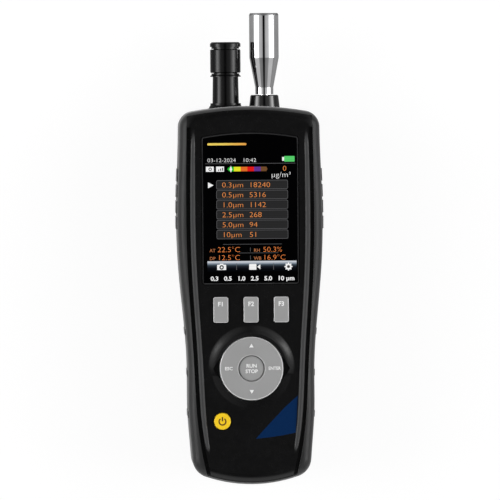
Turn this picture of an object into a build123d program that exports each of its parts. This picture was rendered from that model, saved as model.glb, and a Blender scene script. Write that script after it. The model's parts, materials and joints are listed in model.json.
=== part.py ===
"""Airborne particle counter: a handheld instrument with a colour display, a keypad, a rotary-shuttered
temperature and humidity sensor and a pull-off isokinetic sampling probe.

Millimetres. +X is to the right as seen from the front, +Y points towards the probe, and +Z is the way
the display faces. The instrument lies on its back, which is flat at Z = 0.
"""

import os
from math import cos, radians, sin, sqrt

from build123d import *

# ---- Housing outline, as seen from the front -------------------------------------------------------
BODY_TOP_Y = 72.6
BODY_BOTTOM_Y = -120.0
TOP_ARC_R = 165.0
BOTTOM_ARC_R = 72.0
TOP_CORNER_R = 8.5
BOTTOM_CORNER_R = 10.0
SHOULDER_HALF, SHOULDER_Y = 35.75, 58.0
HEAD_HALF, HEAD_Y = 36.9, 24.0
NECK_HALF, NECK_Y = 36.0, -12.0
WAIST_HALF, WAIST_Y = 32.2, -60.0
HEEL_HALF, HEEL_Y = 32.1, -82.0
FOOT_HALF, FOOT_Y = 30.7, -102.0

# ---- Depth ----------------------------------------------------------------------------------------
OVERALL_DEPTH = 57.0
PANEL_Z = 55.0
PARTING_Z = 27.0
FRONT_EDGE_R = 5.5
BACK_EDGE_R = 6.0
BOOT_T = 2.0
WALL = 2.5
REAR_BOOT_Z = 9.0
RELIEF_DEPTH, RELIEF_FLAT = 3.4, 26.0
RELIEF_TOP_Y, RELIEF_BOTTOM_Y = -18.0, -98.0

# ---- Clearances -----------------------------------------------------------------------------------
GAP = 0.3
SLIDE_GAP = 0.25
PRESS = 0.8
OVER = 1.0  # how far a cutter or a joined shape runs past the face that it opens or meets

# ---- Rails and grooves beside the front panel ------------------------------------------------------
RAIL_R = 1.4
RAIL_H = 1.0
GROOVE_W = 1.9
GROOVE_DEPTH = 1.5
RAIL_TOP_HALF, RAIL_TOP_Y = 28.6, 62.0
RAIL_HEAD_HALF, RAIL_HEAD_Y = 29.25, 25.0
RAIL_NECK_HALF, RAIL_NECK_Y = 28.8, -8.0
RAIL_WAIST_HALF, RAIL_WAIST_Y = 25.9, -58.0
RAIL_HEEL_HALF, RAIL_HEEL_Y = 24.3, -87.0
RAIL_END_HALF, RAIL_END_Y = 19.6, -115.0
TOP_LIP, BOTTOM_LIP = 1.8, 1.0

# ---- Side grip pads and ribs -----------------------------------------------------------------------
PAD_COUNT, PAD_LENGTH, PAD_PITCH, PAD_H, PAD_MID_Y = 4, 6.4, 8.1, 0.5, 25.4
RIB_COUNT, RIB_LENGTH, RIB_PITCH, RIB_H, RIB_MID_Y = 3, 3.3, 21.0, 0.35, -63.3
PAD_Z0, PAD_Z1 = 12.0, 46.0

# ---- Display --------------------------------------------------------------------------------------
WINDOW_W = 49.6
WINDOW_TOP_Y, WINDOW_BOTTOM_Y = 59.4, -18.2
WINDOW_ARCH = 2.35
WINDOW_CORNER_R = 1.7
WINDOW_T = 1.8
WINDOW_PROUD = 0.3
WINDOW_CHAMFER = 0.7
LEDGE_W, LEDGE_CORNER_R = 2.2, 1.0
LCD_T = 3.6
GASKET_T = 0.8

# ---- Keys -----------------------------------------------------------------------------------------
KEY_W, KEY_L, KEY_CORNER_R = 7.5, 12.95, 1.1
KEY_PITCH, KEY_Y = 15.4, -30.9
KEY_PROUD = 1.0
KEY_FLANGE, KEY_FLANGE_T = 1.0, 1.0
PAD_Y = -60.8
PAD_R = 16.1
PAD_PROUD = 1.5
PAD_HOLE_GAP = 0.5
PAD_TILT_DEG = 2.0
PAD_FLANGE_R = 17.6
HUB_R = 6.2
HUB_PROUD = 1.3
POWER_X, POWER_Y, POWER_R, POWER_PROUD = -15.0, -87.6, 4.25, 0.9
BROW_CREST_R, BROW_FOOT_R, BROW_LIP = 18.0, 22.8, 0.35
BROW_SECTIONS, BROW_PAST_DEG, BROW_SINK = 9, 8.0, 0.08
BROW_EAR_H = 0.2
EAR_TIP_X, EAR_ARC_R, EAR_DEPTH = 19.5, 21.5, 1.4
DISH_R, DISH_DEPTH, DISH_TOP_DROP = 20.3, 0.6, 3.6
PAD_FLANGE_T, RING_DROP = 0.9, 1.9
GIMBAL_R, GIMBAL_BORE_R, GIMBAL_T, GIMBAL_GAP = 11.5, 7.4, 0.8, 0.5
SHEET_DROP, SHEET_T, BOARD_T = 4.4, 1.0, 1.6
KEY_EDGE_R, RIM_R, PAD_DISH, HUB_CROWN = 0.5, 0.6, 0.25, 0.7

# ---- Probe ----------------------------------------------------------------------------------------
PROBE_X, PORT_Z = 8.3, 30.0
PROBE_TOP_Y, PROBE_CYL_Y, PROBE_NECK_Y, PROBE_BASE_Y = 120.0, 97.2, 82.0, 78.5
PROBE_R, PROBE_NECK_R, PROBE_WALL = 7.5, 4.6, 1.0
PROBE_LIP = 0.9
SPIGOT_R, SPIGOT_BORE_R, SPIGOT_TOP_Y, SPIGOT_TAIL = 2.85, 1.8, 86.0, 9.0
BOSS_TOP_R, BOSS_BASE_R, BOSS_WAIST_R, BOSS_TOP_Y, BOSS_BASE_Y = 7.15, 7.85, 6.6, 78.2, 70.6
RING_MID_R, RING_SECTION_R, RING_Y = 2.55, 0.5, 82.0

# ---- Temperature and humidity sensor ---------------------------------------------------------------
SENSOR_X = -11.5
STEM_R, STEM_BASE_R, FLANGE_R = 6.5, 6.75, 7.8
COLLAR_R, COLLAR_Y = 9.2, 70.8
STEM_FOOT_Y, STEM_HEAD_Y = 74.1, 87.6
FLANGE_T = 1.0
CAGE_R, CAGE_BORE_R = 6.1, 5.0
SLEEVE_R, SLEEVE_Y0, SLEEVE_Y1, SLEEVE_BEVEL = 7.75, 89.6, 101.65, 0.4
CAP_TOP_Y, CAP_DISC_Y, CAP_NECK_R, CAP_PLUG_L, CAP_BEVEL = 105.3, 102.9, 7.1, 2.4, 0.8
ELEMENT_BOARD_W, ELEMENT_BOARD_L, ELEMENT_W, ELEMENT_L, ELEMENT_T = 5.6, 8.0, 2.6, 3.0, 1.0
VENT_COUNT, VENT_W, VENT_L = 3, 3.0, 7.6
VENT_PITCH_DEG, SLEEVE_TURN_DEG, VENT_FIRST_DEG = 60.0, 30.0, -150.0

# ---- Back and foot ---------------------------------------------------------------------------------
INSERT_R, INSERT_BORE_R, INSERT_LENGTH, INSERT_Y = 5.0, 2.55, 9.0, 8.0
DOOR_HALF, DOOR_TOP_Y, DOOR_BOTTOM_Y, DOOR_T, DOOR_CORNER_R = 21.5, -37.5, -110.0, 2.0, 3.0
DOOR_SCREW_Y, DOOR_SCREW_L, DOOR_SCREW_HEAD_T, DOOR_BOSS_R = -41.4, 8.0, 1.2, 3.0
DOOR_RIDGE_COUNT, DOOR_RIDGE_Y, DOOR_RIDGE_PITCH, DOOR_RIDGE_L = 4, -94.0, 2.6, 16.0
RIDGE_W, RIDGE_DEPTH = 1.2, 0.6
SCREW_R, SCREW_HEAD_R, SCREW_HEAD_T = 1.5, 2.6, 2.0
CROSS_W, CROSS_L = 0.7, 3.2
SCREW_LENGTH, SCREW_SEAT_Z = 24.0, 8.0
CASE_SCREW_TOP_X, CASE_SCREW_TOP_Y = 26.0, 62.0
CASE_SCREW_LOW_X, CASE_SCREW_LOW_Y = 26.5, -30.0
POST_R = 4.2
CAMERA_X, CAMERA_Y, CAMERA_R = -6.5, 58.0, 4.6
CAMERA_BODY_W, CAMERA_BODY_H, CAMERA_BARREL_R = 10.0, 5.0, 3.3
LAMP_X, LAMP_R, LAMP_FLANGE_R, LAMP_FLANGE_T = 6.5, 2.6, 3.6, 1.2
LENS_T, LENS_SINK = 1.4, 0.4
VENT_SLOT_COUNT, VENT_SLOT_W, VENT_SLOT_L, VENT_SLOT_PITCH = 4, 1.4, 12.0, 3.2
FLAP_HALF, FLAP_Z0, FLAP_Z1 = 15.0, 10.5, 24.0

# ---- Boards and what they carry ---------------------------------------------------------------------
KEY_BOARD_HALF, KEY_BOARD_TOP_Y, KEY_BOARD_BOTTOM_Y = 21.0, -22.0, -99.0
KEY_POST_X, KEY_POST_YS = 18.6, (-41.3, -79.8, -96.0)
MAIN_BOARD_HALF, MAIN_BOARD_TOP_Y, MAIN_BOARD_BOTTOM_Y = 29.5, 57.3, -17.4
MAIN_POST_X, MAIN_POST_YS = 27.6, (-12.0, 20.0, 52.0)
BOARD_POST_R = 1.8
PLUNGER_R, PAD_PLUNGER_AT, PAD_PLUNGER_R = 3.0, 14.4, 1.2
LCD_MARGIN = 0.6
HUB_DROP, HUB_GAP = 1.3, 0.45
CONTACT_GAP = 0.1
BUZZER_X, BUZZER_Y, BUZZER_R, BUZZER_T = 18.0, -6.0, 6.0, 4.0

# ---- Sampling path ----------------------------------------------------------------------------------
CHAMBER_X, CHAMBER_W, CHAMBER_Y0, CHAMBER_Y1, CHAMBER_TOP_Z = 2.0, 32.0, 22.0, 50.0, 39.0
LASER_Z, LASER_R, LASER_L = 26.0, 5.5, 15.0
DETECTOR_R, DETECTOR_T = 4.5, 5.0
PUMP_X, PUMP_W, PUMP_Y0, PUMP_Y1, PUMP_H = -18.0, 20.0, -14.0, 16.0, 15.0
MOTOR_R, MOTOR_T = 8.0, 9.0
FILTER_X, FILTER_R, FILTER_Y0, FILTER_Y1 = 16.0, 7.5, -12.0, 14.0
TUBE_R, TUBE_BORE_R = 2.4, 1.2
FLOW_X, FLOW_Z, EXHAUST_Y = -11.0, 17.0, 0.0

# ---- Battery and ports ------------------------------------------------------------------------------
BATTERY_W, BATTERY_H, BATTERY_Y0, BATTERY_Y1 = 38.0, 18.8, -105.0, -46.0
PORT_BOARD_Z, PORT_BOARD_HALF, PORT_BOARD_Y0, PORT_BOARD_Y1 = 14.0, 14.0, -113.2, -106.0
BAY_GAP, BOARD_RIB_X, BOARD_RIB_W, BOARD_RIB_L = 0.6, 13.0, 1.6, 4.2
SOCKET_Y = -116.3
USB_X, USB_W, USB_H = -9.0, 7.8, 2.9
CARD_X, CARD_W, CARD_H = 0.8, 11.0, 1.6
JACK_X, JACK_SIZE, JACK_BORE_R = 10.6, 6.4, 1.7
SOCKET_TAIL_Y = -108.0
SOCKET_WINDOW_HALF, SOCKET_WINDOW_Z0, SOCKET_WINDOW_Z1 = 14.2, 13.6, 22.6

# ---- Inside the housing ----------------------------------------------------------------------------
FLOOR_Z = RELIEF_DEPTH + WALL
CEILING_Z = PANEL_Z - WALL
KEY_FLANGE_BOTTOM_Z = CEILING_Z - KEY_FLANGE_T
SHEET_TOP_Z = CEILING_Z - SHEET_DROP
BOARD_TOP_Z = SHEET_TOP_Z - SHEET_T
WINDOW_BOTTOM_Z = PANEL_Z + WINDOW_PROUD - WINDOW_T
LCD_TOP_Z = CEILING_Z - GASKET_T
LCD_BOTTOM_Z = LCD_TOP_Z - LCD_T
RING_BOTTOM_Z = CEILING_Z - RING_DROP
GIMBAL_Z1 = RING_BOTTOM_Z - GIMBAL_GAP
GIMBAL_Z0 = GIMBAL_Z1 - GIMBAL_T
MAIN_BOARD_Z = LCD_BOTTOM_Z - BOARD_T
KEY_BOARD_Z = BOARD_TOP_Z - BOARD_T
HUB_BOTTOM_Z = CEILING_Z - HUB_DROP
DOOR_SCREW_SEAT_Z = RELIEF_DEPTH + DOOR_T / 2
DOOR_BOSS_TOP_Z = DOOR_SCREW_SEAT_Z + DOOR_SCREW_L + 1
KEY_XS = [-KEY_PITCH, 0.0, KEY_PITCH]
CASE_SCREW_SPOTS = [
    (side * x, y)
    for x, y in [(CASE_SCREW_TOP_X, CASE_SCREW_TOP_Y), (CASE_SCREW_LOW_X, CASE_SCREW_LOW_Y)]
    for side in (-1, 1)
]


# ---- Shared shapes ---------------------------------------------------------------------------------
def arc_y(middle_y, radius, x):
    """Height at x of an arc that is highest in the middle, or lowest for a negative radius."""
    drop = abs(radius) - sqrt(radius**2 - x**2)
    return middle_y - drop if radius > 0 else middle_y + drop


def closed_face(side, top_y, top_r, bottom_y, bottom_r):
    """Face between an arched top, an arched bottom and two mirrored splines through the side points."""
    top_half, bottom_half = side[0][0], side[-1][0]
    right = [(top_half, arc_y(top_y, top_r, top_half))] + side[1:-1]
    right += [(bottom_half, arc_y(bottom_y, -bottom_r, bottom_half))]
    left = [(-x, y) for x, y in reversed(right)]
    edges = [
        Spline(*right),
        ThreePointArc(right[-1], (0, bottom_y), left[0]),
        Spline(*left),
        ThreePointArc(left[-1], (0, top_y), right[0]),
    ]
    return make_face(edges)


def round_corners(solid, top_r, bottom_r):
    """Round a prism's upright corner edges, the two at the head apart from the two at the foot."""
    corners = solid.edges().filter_by(Axis.Z).sort_by(Axis.Y)
    solid = fillet(corners[:2], bottom_r)
    corners = solid.edges().filter_by(Axis.Z).sort_by(Axis.Y)
    return fillet(corners[-2:], top_r)


def slab(inset, z0, z1):
    """Prism of the housing's outline moved in by inset, from z0 to z1."""
    side = [
        (SHOULDER_HALF - inset, BODY_TOP_Y),
        (SHOULDER_HALF - inset, SHOULDER_Y),
        (HEAD_HALF - inset, HEAD_Y),
        (NECK_HALF - inset, NECK_Y),
        (WAIST_HALF - inset, WAIST_Y),
        (HEEL_HALF - inset, HEEL_Y),
        (FOOT_HALF - inset, FOOT_Y),
        (FOOT_HALF - inset - 0.8, BODY_BOTTOM_Y),
    ]
    face = closed_face(
        side, BODY_TOP_Y - inset, TOP_ARC_R - inset, BODY_BOTTOM_Y + inset, BOTTOM_ARC_R - inset
    )
    solid = extrude(Pos(0, 0, z0) * face, z1 - z0)
    return round_corners(solid, TOP_CORNER_R - inset, BOTTOM_CORNER_R - inset)


def box(x0, x1, y0, y1, z0, z1):
    """Box between two corners."""
    size = (x1 - x0, y1 - y0, z1 - z0)
    return Pos((x0 + x1) / 2, (y0 + y1) / 2, (z0 + z1) / 2) * Box(*size)


def disc(x, y, radius, z0, z1):
    """Upright cylinder from z0 to z1."""
    return Pos(x, y, (z0 + z1) / 2) * Cylinder(radius, z1 - z0)


def bush(x, y, radius, bore_r, z0, z1):
    """Upright ring from z0 to z1."""
    return disc(x, y, radius, z0, z1) - disc(x, y, bore_r, z0 - OVER, z1 + OVER)


def bar(x, z, radius, y0, y1):
    """Cylinder along Y from y0 to y1."""
    return Pos(x, (y0 + y1) / 2, z) * Rot(90, 0, 0) * Cylinder(radius, y1 - y0)


def turned(profile, x, z):
    """Solid of revolution about the line through (x, z) along Y; the profile's points are (radius, y)."""
    face = make_face(Polyline(*profile, close=True))
    return Pos(x, 0, z) * revolve(face, Axis.Y)


def rounded_plate(width, length, corner_r, x, y, z0, z1):
    """Plate with rounded corners from z0 to z1."""
    return extrude(Pos(x, y, z0) * RectangleRounded(width, length, corner_r), z1 - z0)


def top_edges(solid):
    """Edges of the highest face."""
    return solid.faces().sort_by(Axis.Z)[-1].edges()



def rail_x(y_shift=0.0, x_shift=0.0):
    """Points down the right-hand rail's centre line, moved sideways by x_shift."""
    return [
        (RAIL_TOP_HALF + x_shift, RAIL_TOP_Y + y_shift),
        (RAIL_HEAD_HALF + x_shift, RAIL_HEAD_Y),
        (RAIL_NECK_HALF + x_shift, RAIL_NECK_Y),
        (RAIL_WAIST_HALF + x_shift, RAIL_WAIST_Y),
        (RAIL_HEEL_HALF + x_shift, RAIL_HEEL_Y),
        (RAIL_END_HALF + x_shift, RAIL_END_Y - y_shift),
    ]


def panel_prism(z0, z1):
    """Prism of the hard front panel, out to the far side of the two grooves."""
    side = rail_x(y_shift=4.0, x_shift=RAIL_R + GROOVE_W)
    top_y, bottom_y = BODY_TOP_Y - TOP_LIP, BODY_BOTTOM_Y + BOTTOM_LIP
    face = closed_face(side, top_y, TOP_ARC_R - TOP_LIP, bottom_y, BOTTOM_ARC_R - BOTTOM_LIP)
    return extrude(Pos(0, 0, z0) * face, z1 - z0)


def groove(z0, z1):
    """Cutter for the right-hand groove, between the rail and the boot."""
    inner = Spline(*rail_x(x_shift=RAIL_R))
    outer = Spline(*rail_x(x_shift=RAIL_R + GROOVE_W + 1.0))
    face = make_face([inner, outer, Line(inner @ 0, outer @ 0), Line(inner @ 1, outer @ 1)])
    return extrude(Pos(0, 0, z0) * face, z1 - z0)


def rail():
    """Right-hand rail: a round bar that sinks into the panel at both ends."""
    crest_z = PANEL_Z + RAIL_H - RAIL_R
    depths = [RAIL_H, 0, 0, 0, 0, RAIL_H + 1.2]
    points = [(x, y, crest_z - depth) for (x, y), depth in zip(rail_x(), depths)]
    path = Spline(*points)
    section = Plane(origin=path @ 0, z_dir=path % 0) * Circle(RAIL_R)
    return sweep(section, path=path)


def brow_section(turn_deg):
    """Section of the brow at an angle round the pad: lip, crest and a flank that runs out into the panel."""
    turn = radians(turn_deg)
    climb = max(0.0, sin(turn))
    height = BROW_EAR_H + (OVERALL_DEPTH - PANEL_Z - BROW_EAR_H) * climb * (2 - climb)
    crest, foot = (BROW_CREST_R, height), (BROW_FOOT_R, -BROW_SINK)
    third = (BROW_FOOT_R - BROW_CREST_R) / 3
    lip = Bezier((PAD_R, height - BROW_LIP), ((PAD_R + BROW_CREST_R) / 2, height), crest)
    flank = Bezier(crest, (BROW_CREST_R + third, height), (BROW_FOOT_R - third, 0), foot)
    edges = [
        lip,
        flank,
        Line(foot, (BROW_FOOT_R, -GROOVE_DEPTH)),
        Line((BROW_FOOT_R, -GROOVE_DEPTH), (PAD_R, -GROOVE_DEPTH)),
        Line((PAD_R, -GROOVE_DEPTH), (PAD_R, height - BROW_LIP)),
    ]
    outward, along = (cos(turn), sin(turn), 0), (sin(turn), -cos(turn), 0)
    return Plane(origin=(0, PAD_Y, PANEL_Z), x_dir=outward, z_dir=along) * make_face(edges)


def brow():
    """Raised crescent over the pad, low at the ears and highest at the top."""
    sweep_deg = 180 + 2 * BROW_PAST_DEG
    turns = [-BROW_PAST_DEG + sweep_deg * index / (BROW_SECTIONS - 1) for index in range(BROW_SECTIONS)]
    return loft([brow_section(turn) for turn in turns])


def ear_pockets():
    """Cutter for the two pointed pockets beside the pad: the tips of a lens between two arcs."""
    shift = sqrt(EAR_ARC_R**2 - EAR_TIP_X**2)
    z0, z1 = PANEL_Z - EAR_DEPTH, PANEL_Z + 5
    return disc(0, PAD_Y - shift, EAR_ARC_R, z0, z1) & disc(0, PAD_Y + shift, EAR_ARC_R, z0, z1)


def pad_well():
    """Cutter for the pad's hole, the two ear pockets and the shallow dish below."""
    hole = disc(0, PAD_Y, PAD_R + PAD_HOLE_GAP, CEILING_Z - OVER, PANEL_Z + 5)
    well_r = PAD_R + PAD_HOLE_GAP
    dish = Pos(0, PAD_Y, PANEL_Z - DISH_DEPTH / 2) * Cone(well_r, DISH_R, DISH_DEPTH)
    dish &= box(-DISH_R, DISH_R, PAD_Y - DISH_R, PAD_Y - DISH_TOP_DROP, PANEL_Z - 2 * OVER, PANEL_Z + OVER)
    return hole + ear_pockets() + dish


def side_swells(z0, z1):
    """Grip pads and ribs of both sides, as thicker stretches of the housing's outline."""
    swells = None
    rows = [
        (PAD_COUNT, PAD_LENGTH, PAD_PITCH, PAD_H, PAD_MID_Y),
        (RIB_COUNT, RIB_LENGTH, RIB_PITCH, RIB_H, RIB_MID_Y),
    ]
    for count, length, pitch, height, middle in rows:
        ring = slab(-height, z0, z1)
        for index in range(count):
            y = middle + (index - (count - 1) / 2) * pitch
            for x0, x1 in ((-HEAD_HALF - 5, -WAIST_HALF + 8), (WAIST_HALF - 8, HEAD_HALF + 5)):
                piece = ring & box(x0, x1, y - length / 2, y + length / 2, z0, z1)
                swells = piece if swells is None else swells + piece
    return swells


# ---- Housing ---------------------------------------------------------------------------------------
def front_blank():
    """Solid front half of the housing with its rounded front edge."""
    blank = slab(0, PARTING_Z, PANEL_Z)
    return fillet(top_edges(blank), FRONT_EDGE_R)


def front_core():
    """What the front boot wraps: the outline moved in, and the panel standing through the boot's frame."""
    core = slab(BOOT_T, PARTING_Z, PANEL_Z - BOOT_T)
    core = fillet(top_edges(core), FRONT_EDGE_R - BOOT_T)
    return core + panel_prism(PANEL_Z - 2 * BOOT_T, PANEL_Z + OVER)


def window_face(grow, corner_r):
    """Outline of the display window, moved out by grow: a rectangle with an arched top."""
    half = WINDOW_W / 2 + grow
    top, corner_y, bottom = WINDOW_TOP_Y + grow, WINDOW_TOP_Y - WINDOW_ARCH + grow, WINDOW_BOTTOM_Y - grow
    edges = [
        ThreePointArc((-half, corner_y), (0, top), (half, corner_y)),
        Line((half, corner_y), (half, bottom)),
        Line((half, bottom), (-half, bottom)),
        Line((-half, bottom), (-half, corner_y)),
    ]
    face = make_face(edges)
    return fillet(face.vertices(), corner_r)


def posts(radius, x, ys, z0):
    """Mirrored pairs of posts that hang from the panel down to z0."""
    group = None
    for y in ys:
        for side in (-1, 1):
            post = disc(side * x, y, radius, z0, CEILING_Z + OVER)
            group = post if group is None else group + post
    return group


def inlet_holes():
    """Cutter through the top wall for the probe's boss and the sensor's stem."""
    wall_in = BODY_TOP_Y - BOOT_T - WALL - 4
    boss = bar(PROBE_X, PORT_Z, BOSS_WAIST_R + GAP, wall_in, BOSS_BASE_Y)
    boss += bar(PROBE_X, PORT_Z, BOSS_BASE_R + GAP, BOSS_BASE_Y, BODY_TOP_Y + 5)
    stem = bar(SENSOR_X, PORT_Z, STEM_R + GAP, wall_in, COLLAR_Y)
    stem += bar(SENSOR_X, PORT_Z, COLLAR_R + GAP, COLLAR_Y, BODY_TOP_Y + 5)
    return boss + stem


def back_solid(lift):
    """Everything above the back's profile: flat head and heel with a shallow relief for the fingers."""
    middle_y = (RELIEF_TOP_Y + RELIEF_BOTTOM_Y) / 2
    deep = RELIEF_DEPTH + lift
    far_top, far_bottom, ceiling = BODY_TOP_Y + 20, BODY_BOTTOM_Y - 20, PANEL_Z + 20
    curve = Spline(
        (RELIEF_TOP_Y, lift),
        (middle_y + RELIEF_FLAT / 2, deep),
        (middle_y - RELIEF_FLAT / 2, deep),
        (RELIEF_BOTTOM_Y, lift),
        tangents=[(-1, 0)] * 4,
    )
    edges = [
        Line((far_top, lift), (RELIEF_TOP_Y, lift)),
        curve,
        Line((RELIEF_BOTTOM_Y, lift), (far_bottom, lift)),
        Line((far_bottom, lift), (far_bottom, ceiling)),
        Line((far_bottom, ceiling), (far_top, ceiling)),
        Line((far_top, ceiling), (far_top, lift)),
    ]
    reach = HEAD_HALF + 10
    return extrude(Plane.YZ.offset(-reach) * make_face(edges), 2 * reach)


def rear_blank():
    """Solid rear half of the housing with the relief and its rounded back edge."""
    blank = slab(0, -OVER, PARTING_Z) & back_solid(0)
    rim = [e for e in blank.edges() if e.bounding_box().max.Z < RELIEF_DEPTH + 0.1]
    across = [e for e in rim if e.bounding_box().size.Y < GAP]
    return fillet([e for e in rim if e not in across], BACK_EDGE_R)


def front_shell():
    """Hard front moulding: panel with rails, brow, display seat and key slots, and its inner posts."""
    shell = front_blank() & front_core()
    right_groove, right_rail = groove(PANEL_Z - GROOVE_DEPTH, PANEL_Z + 2), rail()
    shell = shell - right_groove - mirror(right_groove, Plane.YZ)
    shell = shell + right_rail + mirror(right_rail, Plane.YZ) + brow()
    shell -= slab(BOOT_T + WALL, PARTING_Z - OVER, CEILING_Z)
    shell -= pad_well()
    shell -= extrude(Pos(0, 0, WINDOW_BOTTOM_Z) * window_face(GAP / 2, WINDOW_CORNER_R + GAP / 2), 4)
    shell -= extrude(Pos(0, 0, CEILING_Z - OVER) * window_face(-LEDGE_W, LEDGE_CORNER_R), 4)
    for x in KEY_XS:
        width, length, corner_r = KEY_W + 2 * GAP, KEY_L + 2 * GAP, KEY_CORNER_R + GAP
        shell -= rounded_plate(width, length, corner_r, x, KEY_Y, CEILING_Z - OVER, PANEL_Z + OVER)
    shell -= disc(POWER_X, POWER_Y, POWER_R + GAP, CEILING_Z - OVER, PANEL_Z + OVER)
    shell += posts(BOARD_POST_R, KEY_POST_X, KEY_POST_YS, SHEET_TOP_Z)
    shell += posts(BOARD_POST_R, MAIN_POST_X, MAIN_POST_YS, MAIN_BOARD_Z + BOARD_T)
    inner = slab(BOOT_T + WALL / 2, PARTING_Z, CEILING_Z + OVER)
    for x, y in CASE_SCREW_SPOTS:
        shell += disc(x, y, POST_R, PARTING_Z, CEILING_Z + OVER) & inner
        shell -= disc(x, y, SCREW_R + CONTACT_GAP, PARTING_Z - OVER, SCREW_SEAT_Z + SCREW_LENGTH + OVER)
    return shell - inlet_holes()


def front_boot():
    """Rubber moulded round the front half: a side skin, a rounded front rim and half of each grip pad."""
    boot = front_blank() + side_swells(PARTING_Z, PAD_Z1)
    return boot - front_core() - inlet_holes()


def rear_boot():
    """Rubber moulded round the rear half, with the other half of each grip pad."""
    boot = slab(0, REAR_BOOT_Z, PARTING_Z) + side_swells(PAD_Z0, PARTING_Z)
    boot -= slab(BOOT_T, REAR_BOOT_Z - OVER, PARTING_Z + OVER)
    return boot - inlet_holes() - flap_recess()


def flap_recess():
    """Cutter for the flap's seat in the foot and the window behind it that the sockets fill."""
    half, depth = FLAP_HALF + GAP, BODY_BOTTOM_Y + 8
    seat = box(-half, half, BODY_BOTTOM_Y - 5, depth, FLAP_Z0, FLAP_Z1 + GAP)
    seat -= slab(BOOT_T, FLAP_Z0 - OVER, FLAP_Z1 + OVER)
    half, depth = SOCKET_WINDOW_HALF, PORT_BOARD_Y0 + 0.5
    return seat + box(-half, half, BODY_BOTTOM_Y - 5, depth, SOCKET_WINDOW_Z0, SOCKET_WINDOW_Z1)


def rear_shell():
    """Hard rear moulding: back with camera, lamp, tripod, exhaust and battery openings, and its ribs."""
    shell = rear_blank()
    shell -= slab(0, REAR_BOOT_Z, PARTING_Z + OVER) - slab(BOOT_T, REAR_BOOT_Z - OVER, PARTING_Z + 2 * OVER)
    shell -= slab(BOOT_T + WALL, FLOOR_Z, PARTING_Z + OVER)
    inner = slab(BOOT_T + WALL / 2, FLOOR_Z - OVER, PARTING_Z)
    for x, y in CASE_SCREW_SPOTS:
        shell += disc(x, y, POST_R, FLOOR_Z - OVER, PARTING_Z) & inner
        shell -= disc(x, y, SCREW_R + CONTACT_GAP, -OVER, PARTING_Z + OVER)
        shell -= disc(x, y, SCREW_HEAD_R + GAP, -OVER, SCREW_SEAT_Z)
    shell += disc(0, INSERT_Y, INSERT_R + WALL / 2, FLOOR_Z - OVER, INSERT_LENGTH)
    shell -= disc(0, INSERT_Y, INSERT_R, -OVER, INSERT_LENGTH + OVER)
    shell -= disc(CAMERA_X, CAMERA_Y, CAMERA_R + GAP, -OVER, LENS_SINK + LENS_T)
    shell -= disc(CAMERA_X, CAMERA_Y, CAMERA_R - 1, -1, FLOOR_Z + 1)
    shell -= disc(LAMP_X, CAMERA_Y, LAMP_R + GAP, -OVER, FLOOR_Z + OVER)
    for index in range(VENT_SLOT_COUNT):
        y = EXHAUST_Y + (index - (VENT_SLOT_COUNT - 1) / 2) * VENT_SLOT_PITCH
        corner_r = VENT_SLOT_W / 2.1
        shell -= rounded_plate(VENT_SLOT_L, VENT_SLOT_W, corner_r, FILTER_X, y, -OVER, FLOOR_Z + OVER)
    shell -= door_plate(GAP) - back_solid(DOOR_T)
    shell += disc(0, DOOR_SCREW_Y, DOOR_BOSS_R, FLOOR_Z - OVER, DOOR_BOSS_TOP_Z)
    shell -= disc(0, DOOR_SCREW_Y, SCREW_R + CONTACT_GAP, -OVER, DOOR_BOSS_TOP_Z + OVER)
    bay_half, bay_y0, bay_y1 = BATTERY_W / 2 + BAY_GAP, BATTERY_Y0 - BAY_GAP, BATTERY_Y1 + BAY_GAP
    shell -= box(-bay_half, bay_half, bay_y0, bay_y1, -OVER, FLOOR_Z + OVER)
    for side in (-1, 1):
        x, y0, half = side * BOARD_RIB_X, PORT_BOARD_Y0, BOARD_RIB_W / 2
        shell += box(x - half, x + half, y0, y0 + BOARD_RIB_L, FLOOR_Z - OVER, PORT_BOARD_Z)
    return shell - inlet_holes() - flap_recess()


def door_plate(grow):
    """Upright prism of the battery cover's outline, moved out by grow."""
    width, length = 2 * (DOOR_HALF + grow), DOOR_TOP_Y - DOOR_BOTTOM_Y + 2 * grow
    middle_y, top_z = (DOOR_TOP_Y + DOOR_BOTTOM_Y) / 2, RELIEF_DEPTH + DOOR_T + OVER
    return rounded_plate(width, length, DOOR_CORNER_R + grow, 0, middle_y, -OVER, top_z)


def port_flap():
    """Rubber flap over the sockets, as curved as the foot that it closes."""
    block = box(-FLAP_HALF, FLAP_HALF, BODY_BOTTOM_Y - 5, BODY_BOTTOM_Y + 8, FLAP_Z0, FLAP_Z1)
    skin = slab(0, FLAP_Z0 - OVER, FLAP_Z1 + OVER)
    return block & (skin - slab(BOOT_T - GAP, FLAP_Z0 - 2 * OVER, FLAP_Z1 + 2 * OVER))


def battery_door():
    """Battery cover that follows the back's relief, with a seating pad at the heel and finger ridges."""
    door = (door_plate(0) & back_solid(0)) - back_solid(DOOR_T - CONTACT_GAP)
    heel = DOOR_HALF - DOOR_CORNER_R
    door += box(-heel, heel, DOOR_BOTTOM_Y + DOOR_CORNER_R, RELIEF_BOTTOM_Y - OVER, DOOR_T / 2, DOOR_T)
    for index in range(DOOR_RIDGE_COUNT):
        y = DOOR_RIDGE_Y - index * DOOR_RIDGE_PITCH
        ridge = rounded_plate(DOOR_RIDGE_L, RIDGE_W, RIDGE_W / 2.2, 0, y, -OVER, RELIEF_DEPTH)
        door -= ridge - back_solid(RIDGE_DEPTH)
    door -= disc(0, DOOR_SCREW_Y, SCREW_R + CONTACT_GAP, -OVER, RELIEF_DEPTH + DOOR_T + OVER)
    return door - disc(0, DOOR_SCREW_Y, SCREW_HEAD_R + GAP, -OVER, DOOR_SCREW_SEAT_Z)


def battery_door_screw():
    """Screw that holds the battery cover."""
    return screw(0, DOOR_SCREW_Y, DOOR_SCREW_SEAT_Z, DOOR_SCREW_HEAD_T, DOOR_SCREW_L)


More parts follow.
